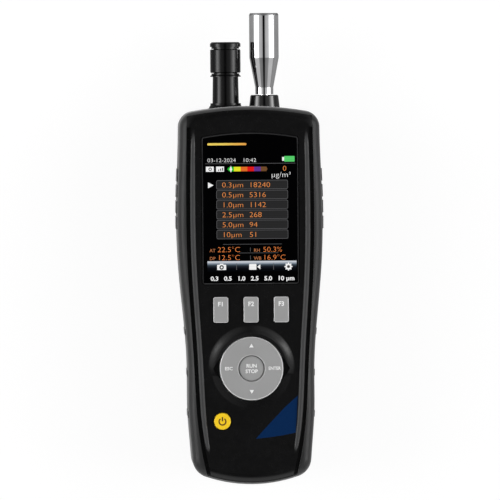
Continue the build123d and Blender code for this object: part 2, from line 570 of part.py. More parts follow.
def screw(x, y, seat_z, head_t, length):
    """Cross-head screw driven from the back; its head's underside is at seat_z."""
    head = disc(x, y, SCREW_HEAD_R, seat_z - head_t, seat_z)
    for width, length in ((CROSS_W, CROSS_L), (CROSS_L, CROSS_W)):
        head -= Pos(x, y, seat_z - head_t) * Box(width, length, head_t)
    return head + disc(x, y, SCREW_R, seat_z - 0.2, seat_z + length)


def case_screws():
    """The four screws that clamp the two shells together."""
    screws = [screw(x, y, SCREW_SEAT_Z, SCREW_HEAD_T, SCREW_LENGTH) for x, y in CASE_SCREW_SPOTS]
    return Compound(children=screws)


# ---- Display ---------------------------------------------------------------------------------------
def display_window():
    """Glass with a bevelled rim, standing slightly proud of the panel."""
    glass = extrude(Pos(0, 0, WINDOW_BOTTOM_Z) * window_face(-GAP / 2, WINDOW_CORNER_R - GAP / 2), WINDOW_T)
    return chamfer(top_edges(glass), WINDOW_CHAMFER)


def lcd_frame(z0, z1):
    """Plate under the window that overlaps the ledge all round."""
    half = WINDOW_W / 2 + LCD_MARGIN
    return box(-half, half, WINDOW_BOTTOM_Y - LCD_MARGIN, WINDOW_TOP_Y - WINDOW_ARCH + LCD_MARGIN, z0, z1)


def lcd_gasket():
    """Foam frame between the display module and the shell's ledge."""
    opening = Pos(0, 0, LCD_TOP_Z - OVER) * window_face(-LEDGE_W, LEDGE_CORNER_R)
    return lcd_frame(LCD_TOP_Z, CEILING_Z) - extrude(opening, GASKET_T + 2 * OVER)


def lcd_module():
    """Colour display module, clamped between the gasket and the main board."""
    return lcd_frame(LCD_BOTTOM_Z, LCD_TOP_Z)


# ---- Keypad ----------------------------------------------------------------------------------------
def function_key(x):
    """Rectangular key cap with a flange that keeps it under the panel."""
    flange_w, flange_l = KEY_W + 2 * KEY_FLANGE, KEY_L + 2 * KEY_FLANGE
    cap = rounded_plate(KEY_W, KEY_L, KEY_CORNER_R, x, KEY_Y, KEY_FLANGE_BOTTOM_Z, PANEL_Z + KEY_PROUD)
    cap = fillet(top_edges(cap), KEY_EDGE_R)
    return cap + rounded_plate(flange_w, flange_l, KEY_CORNER_R, x, KEY_Y, KEY_FLANGE_BOTTOM_Z, CEILING_Z)


def power_button():
    """Round button with a flange that keeps it under the panel."""
    cap = disc(POWER_X, POWER_Y, POWER_R, KEY_FLANGE_BOTTOM_Z, PANEL_Z + POWER_PROUD)
    cap = fillet(top_edges(cap), KEY_EDGE_R)
    return cap + disc(POWER_X, POWER_Y, POWER_R + KEY_FLANGE, KEY_FLANGE_BOTTOM_Z, CEILING_Z)


def dpad_ring():
    """Four-way rocker ring with a softened rim, a slightly dished face and a flange under the panel."""
    top, bore = PANEL_Z + PAD_PROUD, HUB_R + HUB_GAP
    face = make_face(
        [
            Line((bore, RING_BOTTOM_Z), (PAD_FLANGE_R, RING_BOTTOM_Z)),
            Line((PAD_FLANGE_R, RING_BOTTOM_Z), (PAD_FLANGE_R, RING_BOTTOM_Z + PAD_FLANGE_T)),
            Line((PAD_FLANGE_R, RING_BOTTOM_Z + PAD_FLANGE_T), (PAD_R, RING_BOTTOM_Z + PAD_FLANGE_T)),
            Line((PAD_R, RING_BOTTOM_Z + PAD_FLANGE_T), (PAD_R, top - RIM_R)),
            RadiusArc((PAD_R, top - RIM_R), (PAD_R - RIM_R, top), -RIM_R),
            ThreePointArc((PAD_R - RIM_R, top), ((PAD_R + bore) / 2, top - PAD_DISH), (bore + RIM_R, top)),
            Line((bore + RIM_R, top), (bore, top - RIM_R)),
            Line((bore, top - RIM_R), (bore, RING_BOTTOM_Z)),
        ]
    )
    return Pos(0, PAD_Y, 0) * revolve(Plane.XZ * face, Axis.Z)


def dpad_gimbal():
    """Loose ring under the four-way ring that lets it rock both ways."""
    return bush(0, PAD_Y, GIMBAL_R, GIMBAL_BORE_R, GIMBAL_Z0, GIMBAL_Z1)


def run_stop_button():
    """Domed button in the middle of the four-way ring."""
    top = PANEL_Z + HUB_PROUD
    dome_r = (HUB_R**2 + HUB_CROWN**2) / (2 * HUB_CROWN)
    return disc(0, PAD_Y, HUB_R, HUB_BOTTOM_Z, top + OVER) & (Pos(0, PAD_Y, top - dome_r) * Sphere(dome_r))


def key_board_box(z0, z1):
    """Plate of the keypad board's outline."""
    return box(-KEY_BOARD_HALF, KEY_BOARD_HALF, KEY_BOARD_BOTTOM_Y, KEY_BOARD_TOP_Y, z0, z1)


def keypad_membrane():
    """Rubber sheet on the keypad board with a plunger under each key."""
    sheet = key_board_box(BOARD_TOP_Z, SHEET_TOP_Z)
    key_stop = KEY_FLANGE_BOTTOM_Z - PRESS - CONTACT_GAP
    for x in KEY_XS:
        sheet += disc(x, KEY_Y, PLUNGER_R, SHEET_TOP_Z - SHEET_T / 2, key_stop)
    sheet += disc(POWER_X, POWER_Y, PLUNGER_R, SHEET_TOP_Z - SHEET_T / 2, key_stop)
    sheet += disc(0, PAD_Y, PLUNGER_R, SHEET_TOP_Z - SHEET_T / 2, HUB_BOTTOM_Z - PRESS - CONTACT_GAP)
    ring_drop = (PAD_PLUNGER_AT + PAD_PLUNGER_R) * sin(radians(PAD_TILT_DEG))
    for x, y in ((PAD_PLUNGER_AT, 0), (-PAD_PLUNGER_AT, 0), (0, PAD_PLUNGER_AT), (0, -PAD_PLUNGER_AT)):
        stop = RING_BOTTOM_Z - ring_drop - CONTACT_GAP
        sheet += disc(x, PAD_Y + y, PAD_PLUNGER_R, SHEET_TOP_Z - SHEET_T / 2, stop)
    return sheet


def keypad_board():
    """Circuit board under the keypad membrane."""
    return key_board_box(KEY_BOARD_Z, BOARD_TOP_Z)


def main_board():
    """Main circuit board behind the display."""
    half = MAIN_BOARD_HALF
    return box(-half, half, MAIN_BOARD_BOTTOM_Y, MAIN_BOARD_TOP_Y, MAIN_BOARD_Z, MAIN_BOARD_Z + BOARD_T)


def buzzer():
    """Sounder under the main board."""
    return disc(BUZZER_X, BUZZER_Y, BUZZER_R, MAIN_BOARD_Z - BUZZER_T, MAIN_BOARD_Z)


# ---- Sampling path ---------------------------------------------------------------------------------
def optical_chamber():
    """Block in which the laser lights the sampled air."""
    x0, x1 = CHAMBER_X - CHAMBER_W / 2, CHAMBER_X + CHAMBER_W / 2
    block = box(x0, x1, CHAMBER_Y0, CHAMBER_Y1, FLOOR_Z, CHAMBER_TOP_Z)
    return block - bar(PROBE_X, PORT_Z, TUBE_BORE_R, CHAMBER_Y1 - 8, CHAMBER_Y1 + OVER)


def laser_module():
    """Laser diode barrel on the chamber's side."""
    x1, y = CHAMBER_X - CHAMBER_W / 2, (CHAMBER_Y0 + CHAMBER_Y1) / 2
    return Pos(x1 - LASER_L / 2, y, LASER_Z) * Rot(0, 90, 0) * Cylinder(LASER_R, LASER_L)


def photodetector():
    """Light sensor on top of the chamber."""
    y = (CHAMBER_Y0 + CHAMBER_Y1) / 2
    return disc(CHAMBER_X, y, DETECTOR_R, CHAMBER_TOP_Z, CHAMBER_TOP_Z + DETECTOR_T)


def inlet_tube():
    """Hose from the probe's spigot to the chamber."""
    tail = spigot_tail_y()
    tube = bar(PROBE_X, PORT_Z, TUBE_R, CHAMBER_Y1, tail)
    return tube - bar(PROBE_X, PORT_Z, TUBE_BORE_R, CHAMBER_Y1 - OVER, tail + OVER)


def flow_tube():
    """Hose from the chamber to the pump."""
    tube = bar(FLOW_X, FLOW_Z, TUBE_R, PUMP_Y1, CHAMBER_Y0)
    return tube - bar(FLOW_X, FLOW_Z, TUBE_BORE_R, PUMP_Y1 - OVER, CHAMBER_Y0 + OVER)


def air_pump():
    """Diaphragm pump with its motor on top."""
    x0, x1 = PUMP_X - PUMP_W / 2, PUMP_X + PUMP_W / 2
    body = box(x0, x1, PUMP_Y0, PUMP_Y1, FLOOR_Z, FLOOR_Z + PUMP_H)
    top_z, middle_y = FLOOR_Z + PUMP_H, (PUMP_Y0 + PUMP_Y1) / 2
    return body + disc(PUMP_X, middle_y, MOTOR_R, top_z - OVER, top_z + MOTOR_T)


def exhaust_tube():
    """Short hose from the pump to the filter."""
    x0, z = PUMP_X + PUMP_W / 2, FLOOR_Z + FILTER_R
    x1 = FILTER_X - sqrt(FILTER_R**2 - TUBE_R**2) - CONTACT_GAP * 5
    place = Pos((x0 + x1) / 2, EXHAUST_Y, z) * Rot(0, 90, 0)
    return place * (Cylinder(TUBE_R, x1 - x0) - Cylinder(TUBE_BORE_R, x1 - x0 + 2 * OVER))


def exhaust_filter():
    """Filter cartridge over the exhaust slots."""
    return bar(FILTER_X, FLOOR_Z + FILTER_R, FILTER_R, FILTER_Y0, FILTER_Y1)


# ---- Probe -----------------------------------------------------------------------------------------
def spigot_tail_y():
    """Inner end of the spigot, inside the top wall."""
    return BOSS_BASE_Y - SPIGOT_TAIL


def inlet_boss():
    """Tapered boss round the spigot, seated in the top wall."""
    bore = SPIGOT_R + CONTACT_GAP / 2
    waist_y = BODY_TOP_Y - BOOT_T - WALL - 2
    profile = [
        (bore, waist_y),
        (BOSS_WAIST_R, waist_y),
        (BOSS_WAIST_R, BOSS_BASE_Y),
        (BOSS_BASE_R, BOSS_BASE_Y),
        (BOSS_BASE_R, BOSS_BASE_Y + 1),
        (BOSS_TOP_R, BOSS_TOP_Y - PROBE_LIP / 2),
        (BOSS_TOP_R - PROBE_LIP / 2, BOSS_TOP_Y),
        (bore, BOSS_TOP_Y),
    ]
    return turned(profile, PROBE_X, PORT_Z)


def inlet_spigot():
    """Tube that carries the probe and leads the air in, grooved for its ring."""
    groove_r, half = RING_MID_R - RING_SECTION_R, RING_SECTION_R + CONTACT_GAP
    profile = [
        (SPIGOT_BORE_R, spigot_tail_y()),
        (SPIGOT_R, spigot_tail_y()),
        (SPIGOT_R, RING_Y - half),
        (groove_r, RING_Y - half),
        (groove_r, RING_Y + half),
        (SPIGOT_R, RING_Y + half),
        (SPIGOT_R, SPIGOT_TOP_Y),
        (SPIGOT_BORE_R, SPIGOT_TOP_Y),
    ]
    return turned(profile, PROBE_X, PORT_Z)


def probe_o_ring():
    """Sealing ring on the spigot."""
    return Pos(PROBE_X, RING_Y, PORT_Z) * Rot(90, 0, 0) * Torus(RING_MID_R, RING_SECTION_R)


def isokinetic_probe():
    """Steel probe: an open mouth, a taper and a neck that pushes over the spigot."""
    bore = SPIGOT_R + SLIDE_GAP
    mouth_r = PROBE_R - PROBE_WALL
    profile = [
        (bore, PROBE_BASE_Y),
        (PROBE_NECK_R, PROBE_BASE_Y),
        (PROBE_NECK_R, PROBE_NECK_Y),
        (PROBE_R, PROBE_CYL_Y),
        (PROBE_R, PROBE_TOP_Y - PROBE_LIP),
        (PROBE_R - PROBE_LIP / 2, PROBE_TOP_Y),
        (mouth_r, PROBE_TOP_Y),
        (mouth_r, PROBE_CYL_Y),
        (bore, SPIGOT_TOP_Y + PROBE_WALL),
    ]
    return turned(profile, PROBE_X, PORT_Z)


# ---- Temperature and humidity sensor ---------------------------------------------------------------
def vents(first_deg, outer_r, inner_r):
    """Cutters for the vents of the cage or the sleeve, spread round the sensor's axis."""
    middle = (SLEEVE_Y0 + SLEEVE_Y1) / 2
    group = None
    for index in range(VENT_COUNT):
        angle = first_deg + index * VENT_PITCH_DEG
        radius = (outer_r + inner_r) / 2
        slot = Pos(radius, middle, 0) * Box(outer_r - inner_r, VENT_L, VENT_W)
        slot = Pos(SENSOR_X, 0, PORT_Z) * Rot(0, -angle, 0) * slot
        group = slot if group is None else group + slot
    return group


def sensor_stem():
    """Sensor body: collar in the top wall, flange, tapered stem, lower flange and slotted cage."""
    cage_top = SLEEVE_Y1 + GAP
    profile = [
        (0, BODY_TOP_Y - BOOT_T - WALL - 3),
        (STEM_R, BODY_TOP_Y - BOOT_T - WALL - 3),
        (STEM_R, COLLAR_Y),
        (COLLAR_R, COLLAR_Y),
        (FLANGE_R, STEM_FOOT_Y - FLANGE_T),
        (FLANGE_R, STEM_FOOT_Y),
        (STEM_BASE_R, STEM_FOOT_Y),
        (STEM_R, STEM_HEAD_Y),
        (FLANGE_R, STEM_HEAD_Y),
        (FLANGE_R, STEM_HEAD_Y + FLANGE_T / 2),
        (CAP_NECK_R, STEM_HEAD_Y + FLANGE_T),
        (CAP_NECK_R, SLEEVE_Y0 - GAP),
        (CAGE_R, SLEEVE_Y0 - GAP),
        (CAGE_R, cage_top),
        (CAGE_BORE_R, cage_top),
        (CAGE_BORE_R, SLEEVE_Y0 + 1),
        (0, SLEEVE_Y0 + 1),
    ]
    stem = turned(profile, SENSOR_X, PORT_Z)
    return stem - vents(VENT_FIRST_DEG + SLEEVE_TURN_DEG, CAGE_R + 1, CAGE_BORE_R - 1)


def sensor_sleeve():
    """Rotary shutter round the cage: a turn brings its vents over the cage's."""
    bore = CAGE_R + GAP
    profile = [
        (bore, SLEEVE_Y0),
        (SLEEVE_R - SLEEVE_BEVEL, SLEEVE_Y0),
        (SLEEVE_R, SLEEVE_Y0 + SLEEVE_BEVEL),
        (SLEEVE_R, SLEEVE_Y1 - SLEEVE_BEVEL),
        (SLEEVE_R - SLEEVE_BEVEL, SLEEVE_Y1),
        (bore, SLEEVE_Y1),
    ]
    return turned(profile, SENSOR_X, PORT_Z) - vents(VENT_FIRST_DEG, SLEEVE_R + 1, bore - 0.5)


def sensor_cap():
    """Cap that closes the cage and keeps the sleeve on."""
    seat_y = SLEEVE_Y1 + GAP
    plug_r = CAGE_BORE_R - CONTACT_GAP
    profile = [
        (0, seat_y - CAP_PLUG_L),
        (plug_r, seat_y - CAP_PLUG_L),
        (plug_r, seat_y),
        (CAP_NECK_R, seat_y),
        (CAP_NECK_R, CAP_DISC_Y),
        (FLANGE_R, CAP_DISC_Y),
        (FLANGE_R, CAP_TOP_Y - CAP_BEVEL),
        (FLANGE_R - CAP_BEVEL, CAP_TOP_Y),
        (0, CAP_TOP_Y),
    ]
    return turned(profile, SENSOR_X, PORT_Z)


def humidity_sensor():
    """Small board with the sensing element, standing in the cage."""
    board_y = SLEEVE_Y0 + 1 + ELEMENT_BOARD_L / 2
    board = Pos(SENSOR_X, board_y, PORT_Z) * Box(ELEMENT_BOARD_W, ELEMENT_BOARD_L, ELEMENT_T)
    element = Box(ELEMENT_W, ELEMENT_L, ELEMENT_T)
    return board + Pos(SENSOR_X, board_y + ELEMENT_L / 2, PORT_Z + ELEMENT_T) * element


# ---- Back and foot ---------------------------------------------------------------------------------
def tripod_insert():
    """Threaded brass insert for a tripod, flush with the back."""
    return bush(0, INSERT_Y, INSERT_R, INSERT_BORE_R, 0, INSERT_LENGTH)


def camera_window():
    """Clear cover over the camera."""
    return disc(CAMERA_X, CAMERA_Y, CAMERA_R, LENS_SINK, LENS_SINK + LENS_T)


def camera_module():
    """Camera with its barrel in the back wall."""
    barrel = disc(CAMERA_X, CAMERA_Y, CAMERA_BARREL_R, LENS_SINK + LENS_T + GAP, FLOOR_Z + OVER)
    body = Box(CAMERA_BODY_W, CAMERA_BODY_W, CAMERA_BODY_H)
    return barrel + Pos(CAMERA_X, CAMERA_Y, FLOOR_Z + CAMERA_BODY_H / 2) * body


def lamp():
    """White lamp beside the camera."""
    lens = disc(LAMP_X, CAMERA_Y, LAMP_R, LENS_SINK, FLOOR_Z + OVER)
    return lens + disc(LAMP_X, CAMERA_Y, LAMP_FLANGE_R, FLOOR_Z, FLOOR_Z + LAMP_FLANGE_T)


def battery_pack():
    """Shrink-wrapped pair of cells."""
    z = FLOOR_Z + BATTERY_H / 2
    y = (BATTERY_Y0 + BATTERY_Y1) / 2
    section = Plane.XZ.offset(-y) * Pos(0, z) * RectangleRounded(BATTERY_W, BATTERY_H, BATTERY_H / 2.05)
    return extrude(section, (BATTERY_Y1 - BATTERY_Y0) / 2, both=True)


def port_board():
    """Small board that carries the sockets."""
    half, top = PORT_BOARD_HALF, PORT_BOARD_Z + BOARD_T
    return box(-half, half, PORT_BOARD_Y0, PORT_BOARD_Y1, PORT_BOARD_Z, top)


def socket(x, width, height, hole_w, hole_h):
    """Socket on the port board with a rectangular mouth."""
    z0 = PORT_BOARD_Z + BOARD_T
    middle = z0 + height / 2
    body = box(x - width / 2, x + width / 2, SOCKET_Y, SOCKET_TAIL_Y, z0, z0 + height)
    mouth = box(
        x - hole_w / 2, x + hole_w / 2, SOCKET_Y - 1, SOCKET_Y + 5, middle - hole_h / 2, middle + hole_h / 2
    )
    return body - mouth


def usb_socket():
    """Micro USB socket."""
    return socket(USB_X, USB_W, USB_H, USB_W - 1, USB_H - 1)


def card_socket():
    """Memory card socket."""
    return socket(CARD_X, CARD_W, CARD_H, CARD_W - 1, CARD_H / 2)


def dc_jack():
    """Round charging socket."""
    z0 = PORT_BOARD_Z + BOARD_T
    body = box(JACK_X - JACK_SIZE / 2, JACK_X + JACK_SIZE / 2, SOCKET_Y, SOCKET_TAIL_Y, z0, z0 + JACK_SIZE)
    return body - bar(JACK_X, z0 + JACK_SIZE / 2, JACK_BORE_R, SOCKET_Y - OVER, SOCKET_Y + 6)


PIECES = {
    "front_shell": front_shell,
    "front_boot": front_boot,
    "rear_shell": rear_shell,
    "rear_boot": rear_boot,
    "port_flap": port_flap,
    "battery_door": battery_door,
    "battery_door_screw": battery_door_screw,
    "case_screws": case_screws,
    "display_window": display_window,
    "lcd_gasket": lcd_gasket,
    "lcd_module": lcd_module,
    "dpad_ring": dpad_ring,
    "dpad_gimbal": dpad_gimbal,
    "run_stop_button": run_stop_button,
    "power_button": power_button,
    "keypad_membrane": keypad_membrane,
    "keypad_board": keypad_board,
    "main_board": main_board,
    "buzzer": buzzer,
    "optical_chamber": optical_chamber,
    "laser_module": laser_module,
    "photodetector": photodetector,
    "inlet_tube": inlet_tube,
    "flow_tube": flow_tube,
    "air_pump": air_pump,
    "exhaust_tube": exhaust_tube,
    "exhaust_filter": exhaust_filter,
    "inlet_boss": inlet_boss,
    "inlet_spigot": inlet_spigot,
    "probe_o_ring": probe_o_ring,
    "isokinetic_probe": isokinetic_probe,
    "sensor_stem": sensor_stem,
    "sensor_sleeve": sensor_sleeve,
    "sensor_cap": sensor_cap,
    "humidity_sensor": humidity_sensor,
    "tripod_insert": tripod_insert,
    "camera_window": camera_window,
    "camera_module": camera_module,
    "lamp": lamp,
    "battery_pack": battery_pack,
    "port_board": port_board,
    "usb_socket": usb_socket,
    "card_socket": card_socket,
    "dc_jack": dc_jack,
}
for key_number, key_x in enumerate(KEY_XS, start=1):
    PIECES[f"key_f{key_number}"] = lambda x=key_x: function_key(x)


os.makedirs("parts", exist_ok=True)
for node, make in PIECES.items():
    export_step(make(), f"parts/{node}.step")
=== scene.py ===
"""Looks of the airborne particle counter: finishes, screen picture, legends, studio and camera.

The instrument lies on its back: +X is its right side, +Y points to the probe, and +Z is the front's normal.
"""

import json
import math

import bpy
from mathutils import Matrix, Vector


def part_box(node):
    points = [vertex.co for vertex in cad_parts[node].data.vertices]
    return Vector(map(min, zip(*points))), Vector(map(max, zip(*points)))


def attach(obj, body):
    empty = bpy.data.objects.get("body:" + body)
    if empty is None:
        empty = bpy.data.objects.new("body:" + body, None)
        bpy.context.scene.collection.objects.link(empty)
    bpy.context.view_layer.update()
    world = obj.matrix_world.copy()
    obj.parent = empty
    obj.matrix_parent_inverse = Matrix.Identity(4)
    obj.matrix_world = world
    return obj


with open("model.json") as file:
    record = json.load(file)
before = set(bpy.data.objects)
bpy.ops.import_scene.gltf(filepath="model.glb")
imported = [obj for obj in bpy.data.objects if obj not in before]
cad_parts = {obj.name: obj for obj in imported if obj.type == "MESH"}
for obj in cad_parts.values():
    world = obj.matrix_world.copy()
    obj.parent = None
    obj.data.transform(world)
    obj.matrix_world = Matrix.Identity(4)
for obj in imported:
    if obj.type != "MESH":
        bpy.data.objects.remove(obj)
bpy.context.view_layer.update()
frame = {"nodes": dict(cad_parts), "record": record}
nodes = frame["nodes"]

MM = 0.001
LAYER = 0.03 * MM  # how far each printed or lit layer stands off the one below
KEY_PROUD = 1.0 * MM
PANEL_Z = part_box("key_f1")[1].z - KEY_PROUD
PAD_MIDDLE = (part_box("dpad_ring")[0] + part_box("dpad_ring")[1]) / 2


def grey(level):
    return (level, level, level)


# ---- Node trees ------------------------------------------------------------------------------------
class Nodes:
    """Short-hand for building the node tree of a material or of the world."""

    def __init__(self, owner, output="ShaderNodeOutputMaterial", coordinates="Object"):
        owner.use_nodes = True
        self.owner, self.tree = owner, owner.node_tree
        self.tree.nodes.clear()
        self.output = self.add(output)
        self.coordinates = self.add("ShaderNodeTexCoord").outputs[coordinates]

    def add(self, kind, **settings):
        node = self.tree.nodes.new(kind)
        for key, value in settings.items():
            setattr(node, key, value)
        return node

    def put(self, value, socket):
        """Link a node's output to a socket, or set a plain value or colour on it."""
        if isinstance(value, bpy.types.NodeSocket):
            self.tree.links.new(value, socket)
        elif socket.type == "RGBA":
            socket.default_value = (*value, 1)
        else:
            socket.default_value = value

    def noise(self, size_mm, detail=2.0, roughness=0.5, stretch=None):
        """Noise with features of about size_mm."""
        source = self.coordinates
        if stretch:
            mapping = self.add("ShaderNodeMapping")
            mapping.inputs["Scale"].default_value = stretch
            self.put(source, mapping.inputs["Vector"])
            source = mapping.outputs["Vector"]
        node = self.add("ShaderNodeTexNoise")
        self.put(source, node.inputs["Vector"])
        self.put(1 / (size_mm * MM), node.inputs["Scale"])
        self.put(detail, node.inputs["Detail"])
        self.put(roughness, node.inputs["Roughness"])
        return node.outputs["Fac"]

    def split(self, vector, axis):
        """One component of a vector."""
        node = self.add("ShaderNodeSeparateXYZ")
        self.put(vector, node.inputs[0])
        return node.outputs[axis]

    def maths(self, operation, *values):
        """Values joined by an arithmetic operation."""
        node = self.add("ShaderNodeMath", operation=operation)
        for socket, value in zip(node.inputs, values):
            self.put(value, socket)
        return node.outputs[0]

    def remap(self, source, low, high, start=0.0, stop=1.0):
        """Source between start and stop, spread from low to high."""
        node = self.add("ShaderNodeMapRange", clamp=True)
        self.put(source, node.inputs["Value"])
        self.put(start, node.inputs["From Min"])
        self.put(stop, node.inputs["From Max"])
        self.put(low, node.inputs["To Min"])
        self.put(high, node.inputs["To Max"])
        return node.outputs["Result"]

    def vary(self, noise, low, high):
        """Values from low to high that follow the useful middle of a noise."""
        return self.remap(noise, low, high, 0.3, 0.7)

    def blend(self, share, first, second):
        """Colour between first and second, each a colour or a node's output."""
        node = self.add("ShaderNodeMix", data_type="RGBA")
        self.put(share, node.inputs["Factor"])
        self.put(first, node.inputs["A"])
        self.put(second, node.inputs["B"])
        return node.outputs["Result"]

    def drift(self, noise, colour, darkest, lightest):
        """Colour that drifts between two shades of itself."""
        return self.blend(self.vary(noise, 0.0, 1.0), shade(colour, darkest), shade(colour, lightest))

    def mix(self, share, first, second):
        """Shader between the first outputs of two nodes."""
        node = self.add("ShaderNodeMixShader")
        self.put(share, node.inputs[0])
        self.put(first.outputs[0], node.inputs[1])
        self.put(second.outputs[0], node.inputs[2])
        return node

    def bump(self, height, depth_mm, strength=1.0):
        """Relief of depth_mm."""
        node = self.add("ShaderNodeBump")
        self.put(strength, node.inputs["Strength"])
        self.put(depth_mm * MM, node.inputs["Distance"])
        self.put(height, node.inputs["Height"])
        return node.outputs["Normal"]

    def principled(self, **values):
        """Principled shader on the output; its sockets are named with _ for each space."""
        shader = self.add("ShaderNodeBsdfPrincipled")
        for key, value in values.items():
            self.put(value, shader.inputs[key.replace("_", " ")])
        self.show(shader)
        return self.owner

    def show(self, shader):
        self.put(shader.outputs[0], self.output.inputs["Surface"])


def material_nodes(name):
    return Nodes(bpy.data.materials.new(name))


def shade(colour, factor):
    """Colour made lighter or darker."""
    return tuple(min(1.0, channel * factor) for channel in colour)


# ---- Masks: 1 on a part of a surface, 0 elsewhere ----------------------------------------------------
RAIL_INNER_X = 23.2 * MM  # the rails lie outside this
RAIL_FOOT_Y = -92.0 * MM  # but run farther in below this
BROW_R = 22.6 * MM
# The pad's painted edge highlight fades in between these two radii.
HUB_EDGE_R, RIM_R = 9.0 * MM, 12.0 * MM  # the pad's inner edge is nearer than these, its rim farther


def rails(n):
    """The two rails, which stand above the panel."""
    x, y, z = (n.split(n.coordinates, axis) for axis in "XYZ")
    above = n.remap(z, 0.0, 1.0, PANEL_Z + 0.1 * MM, PANEL_Z + 0.25 * MM)
    outside = n.remap(n.maths("ABSOLUTE", x), 0.0, 1.0, RAIL_INNER_X, RAIL_INNER_X + 0.4 * MM)
    at_foot = n.remap(y, 1.0, 0.0, RAIL_FOOT_Y, RAIL_FOOT_Y + 2.0 * MM)
    return n.maths("MULTIPLY", above, n.maths("MAXIMUM", outside, at_foot))


def pad_distance(n):
    """Distance from the middle of the pad."""
    node = n.add("ShaderNodeVectorMath", operation="DISTANCE")
    n.put(n.coordinates, node.inputs[0])
    n.put((PAD_MIDDLE.x, PAD_MIDDLE.y, PANEL_Z), node.inputs[1])
    return node.outputs["Value"]


def brow(n):
    """The brow over the pad."""
    near = n.remap(pad_distance(n), 1.0, 0.0, BROW_R, BROW_R + 0.8 * MM)
    height = n.split(n.coordinates, "Z")
    above = n.remap(height, 0.0, 1.0, PANEL_Z + 0.02 * MM, PANEL_Z + 0.2 * MM)
    return n.maths("MULTIPLY", near, above)


def edge_highlight_mask(n):
    """Faces that slope away from the front's plane, where a lighter colour is painted as a highlight."""
    upright = n.split(n.add("ShaderNodeNewGeometry").outputs["Normal"], "Z")
    return n.remap(upright, 1.0, 0.0, 0.8, 0.985)


# ---- Materials -------------------------------------------------------------------------------------
# The rails' lighter colour is a painted highlight; their added roughness is real.
RAIL_ROUGHNESS, RAIL_HIGHLIGHT_COLOUR = 0.5, (0.045, 0.045, 0.046)
BROW_COAT = 0.75
SHEEN_ROUGHNESS = 0.45
CLOUD_MM, SCUFF_MM = 18.0, 3.0  # sizes of the drift in colour and in gloss on plastic
SMUDGE_MM, POLISH_MM, RIPPLE_MM = 6.0, 9.0, 25.0  # and on metal, glass, and the glass's own waves
TOOL_LINE_MM, INK_MM = 0.25, 0.6
LIP_LENGTH = 1.3 * MM  # satin end of the probe
LIP_SHADE, LIP_ROUGHNESS = 0.45, 0.4  # its colour as a share of the steel's, and its added roughness
PIXEL_PITCH = 0.45 * MM
BAND_TURN = 6.28  # length of one band of the wave texture at scale 1


def moulded(
    name,
    colour,
    roughness,
    specular=0.5,
    grain_mm=0.35,
    grain_depth_mm=0.008,
    mottle=0.15,
    sheen=0.0,
    front=False,
    edge=None,
    hub_edge=1.0,
):
    """Moulded plastic or rubber: fine grain, cloudy gloss and slight colour drift.

    On the front, the rails are satin and take a lighter colour as a painted highlight, and the brow over
    the pad is glossier.
    edge is a lighter colour painted on sloping faces as a highlight, and hub_edge is how much of it there
    is beside the hub.
    """
    n = material_nodes(name)
    cloud = n.noise(CLOUD_MM, detail=4.0)
    grain = n.noise(grain_mm, detail=3.0, roughness=0.6)
    scuff = n.noise(SCUFF_MM, detail=6.0, roughness=0.7)
    tone = n.drift(cloud, colour, 1 - mottle, 1 + mottle)
    # painted highlight: sloping faces, such as the keys' rounded edges, take the lighter edge colour
    if edge:
        past_hub = n.remap(pad_distance(n), hub_edge, 1.0, HUB_EDGE_R, RIM_R)
        tone = n.blend(n.maths("MULTIPLY", edge_highlight_mask(n), past_hub), tone, edge)
    rough = n.vary(scuff, roughness - 0.04, roughness + 0.05)
    coat = 0.0
    if front:
        on_rail = rails(n)
        # painted highlight: the rails take a lighter colour
        tone = n.blend(on_rail, tone, RAIL_HIGHLIGHT_COLOUR)
        rough = n.maths("ADD", rough, n.remap(on_rail, 0.0, RAIL_ROUGHNESS - roughness))
        coat = n.remap(brow(n), 0.0, BROW_COAT)
    return n.principled(
        Base_Color=tone,
        Roughness=rough,
        Normal=n.bump(grain, grain_depth_mm),
        Coat_Weight=coat,
        Coat_Roughness=roughness,
        Specular_IOR_Level=specular,
        Sheen_Weight=sheen,
        Sheen_Roughness=SHEEN_ROUGHNESS,
    )


def metal(name, colour, roughness, stretch=None, lip_y=None):
    """Turned or polished metal with faint tool lines and smudges, satin and darker beyond lip_y."""
    n = material_nodes(name)
    lines = n.noise(TOOL_LINE_MM, detail=2.0, stretch=stretch)
    smudge = n.noise(SMUDGE_MM, detail=4.0)
    tone = n.drift(smudge, colour, 0.94, 1.03)
    rough = n.vary(smudge, roughness * 0.75, roughness * 1.4)
    if lip_y is not None:
        on_lip = n.remap(n.split(n.coordinates, "Y"), 0.0, 1.0, lip_y, lip_y + 0.25 * MM)
        tone = n.blend(on_lip, tone, shade(colour, LIP_SHADE))
        rough = n.maths("ADD", rough, n.remap(on_lip, 0.0, LIP_ROUGHNESS))
    normal = n.bump(lines, 0.001, strength=0.6)
    return n.principled(Base_Color=tone, Metallic=1.0, Roughness=rough, Normal=normal)


def glossy(name, colour, edge=None):
    """Hard polished surface with faint smudges; edge is a lighter colour painted on sloping faces as a
    highlight.
    """
    n = material_nodes(name)
    smudge = n.noise(POLISH_MM, detail=5.0, roughness=0.6)
    tone = n.drift(smudge, colour, 0.9, 1.1)
    # painted highlight: sloping faces take the lighter edge colour
    if edge:
        tone = n.blend(edge_highlight_mask(n), tone, edge)
    rough = n.remap(smudge, 0.03, 0.07, 0.45, 0.75)
    ripple = n.bump(n.noise(RIPPLE_MM, detail=1.0), 0.002)
    return n.principled(Base_Color=tone, Roughness=rough, Normal=ripple)


def lit(name, colour):
    """Part of the lit screen: fine pixel rows over an even glow, behind the glass's gloss."""
    n = material_nodes(name)
    rows = n.add("ShaderNodeTexWave", wave_type="BANDS", bands_direction="Y")
    n.put(1 / PIXEL_PITCH / BAND_TURN, rows.inputs["Scale"])
    n.put(n.coordinates, rows.inputs["Vector"])
    glow = n.blend(rows.outputs["Fac"], shade(colour, 0.88), shade(colour, 1.06))
    return n.principled(Base_Color=grey(0), Roughness=0.08, Emission_Color=glow, Emission_Strength=1.0)


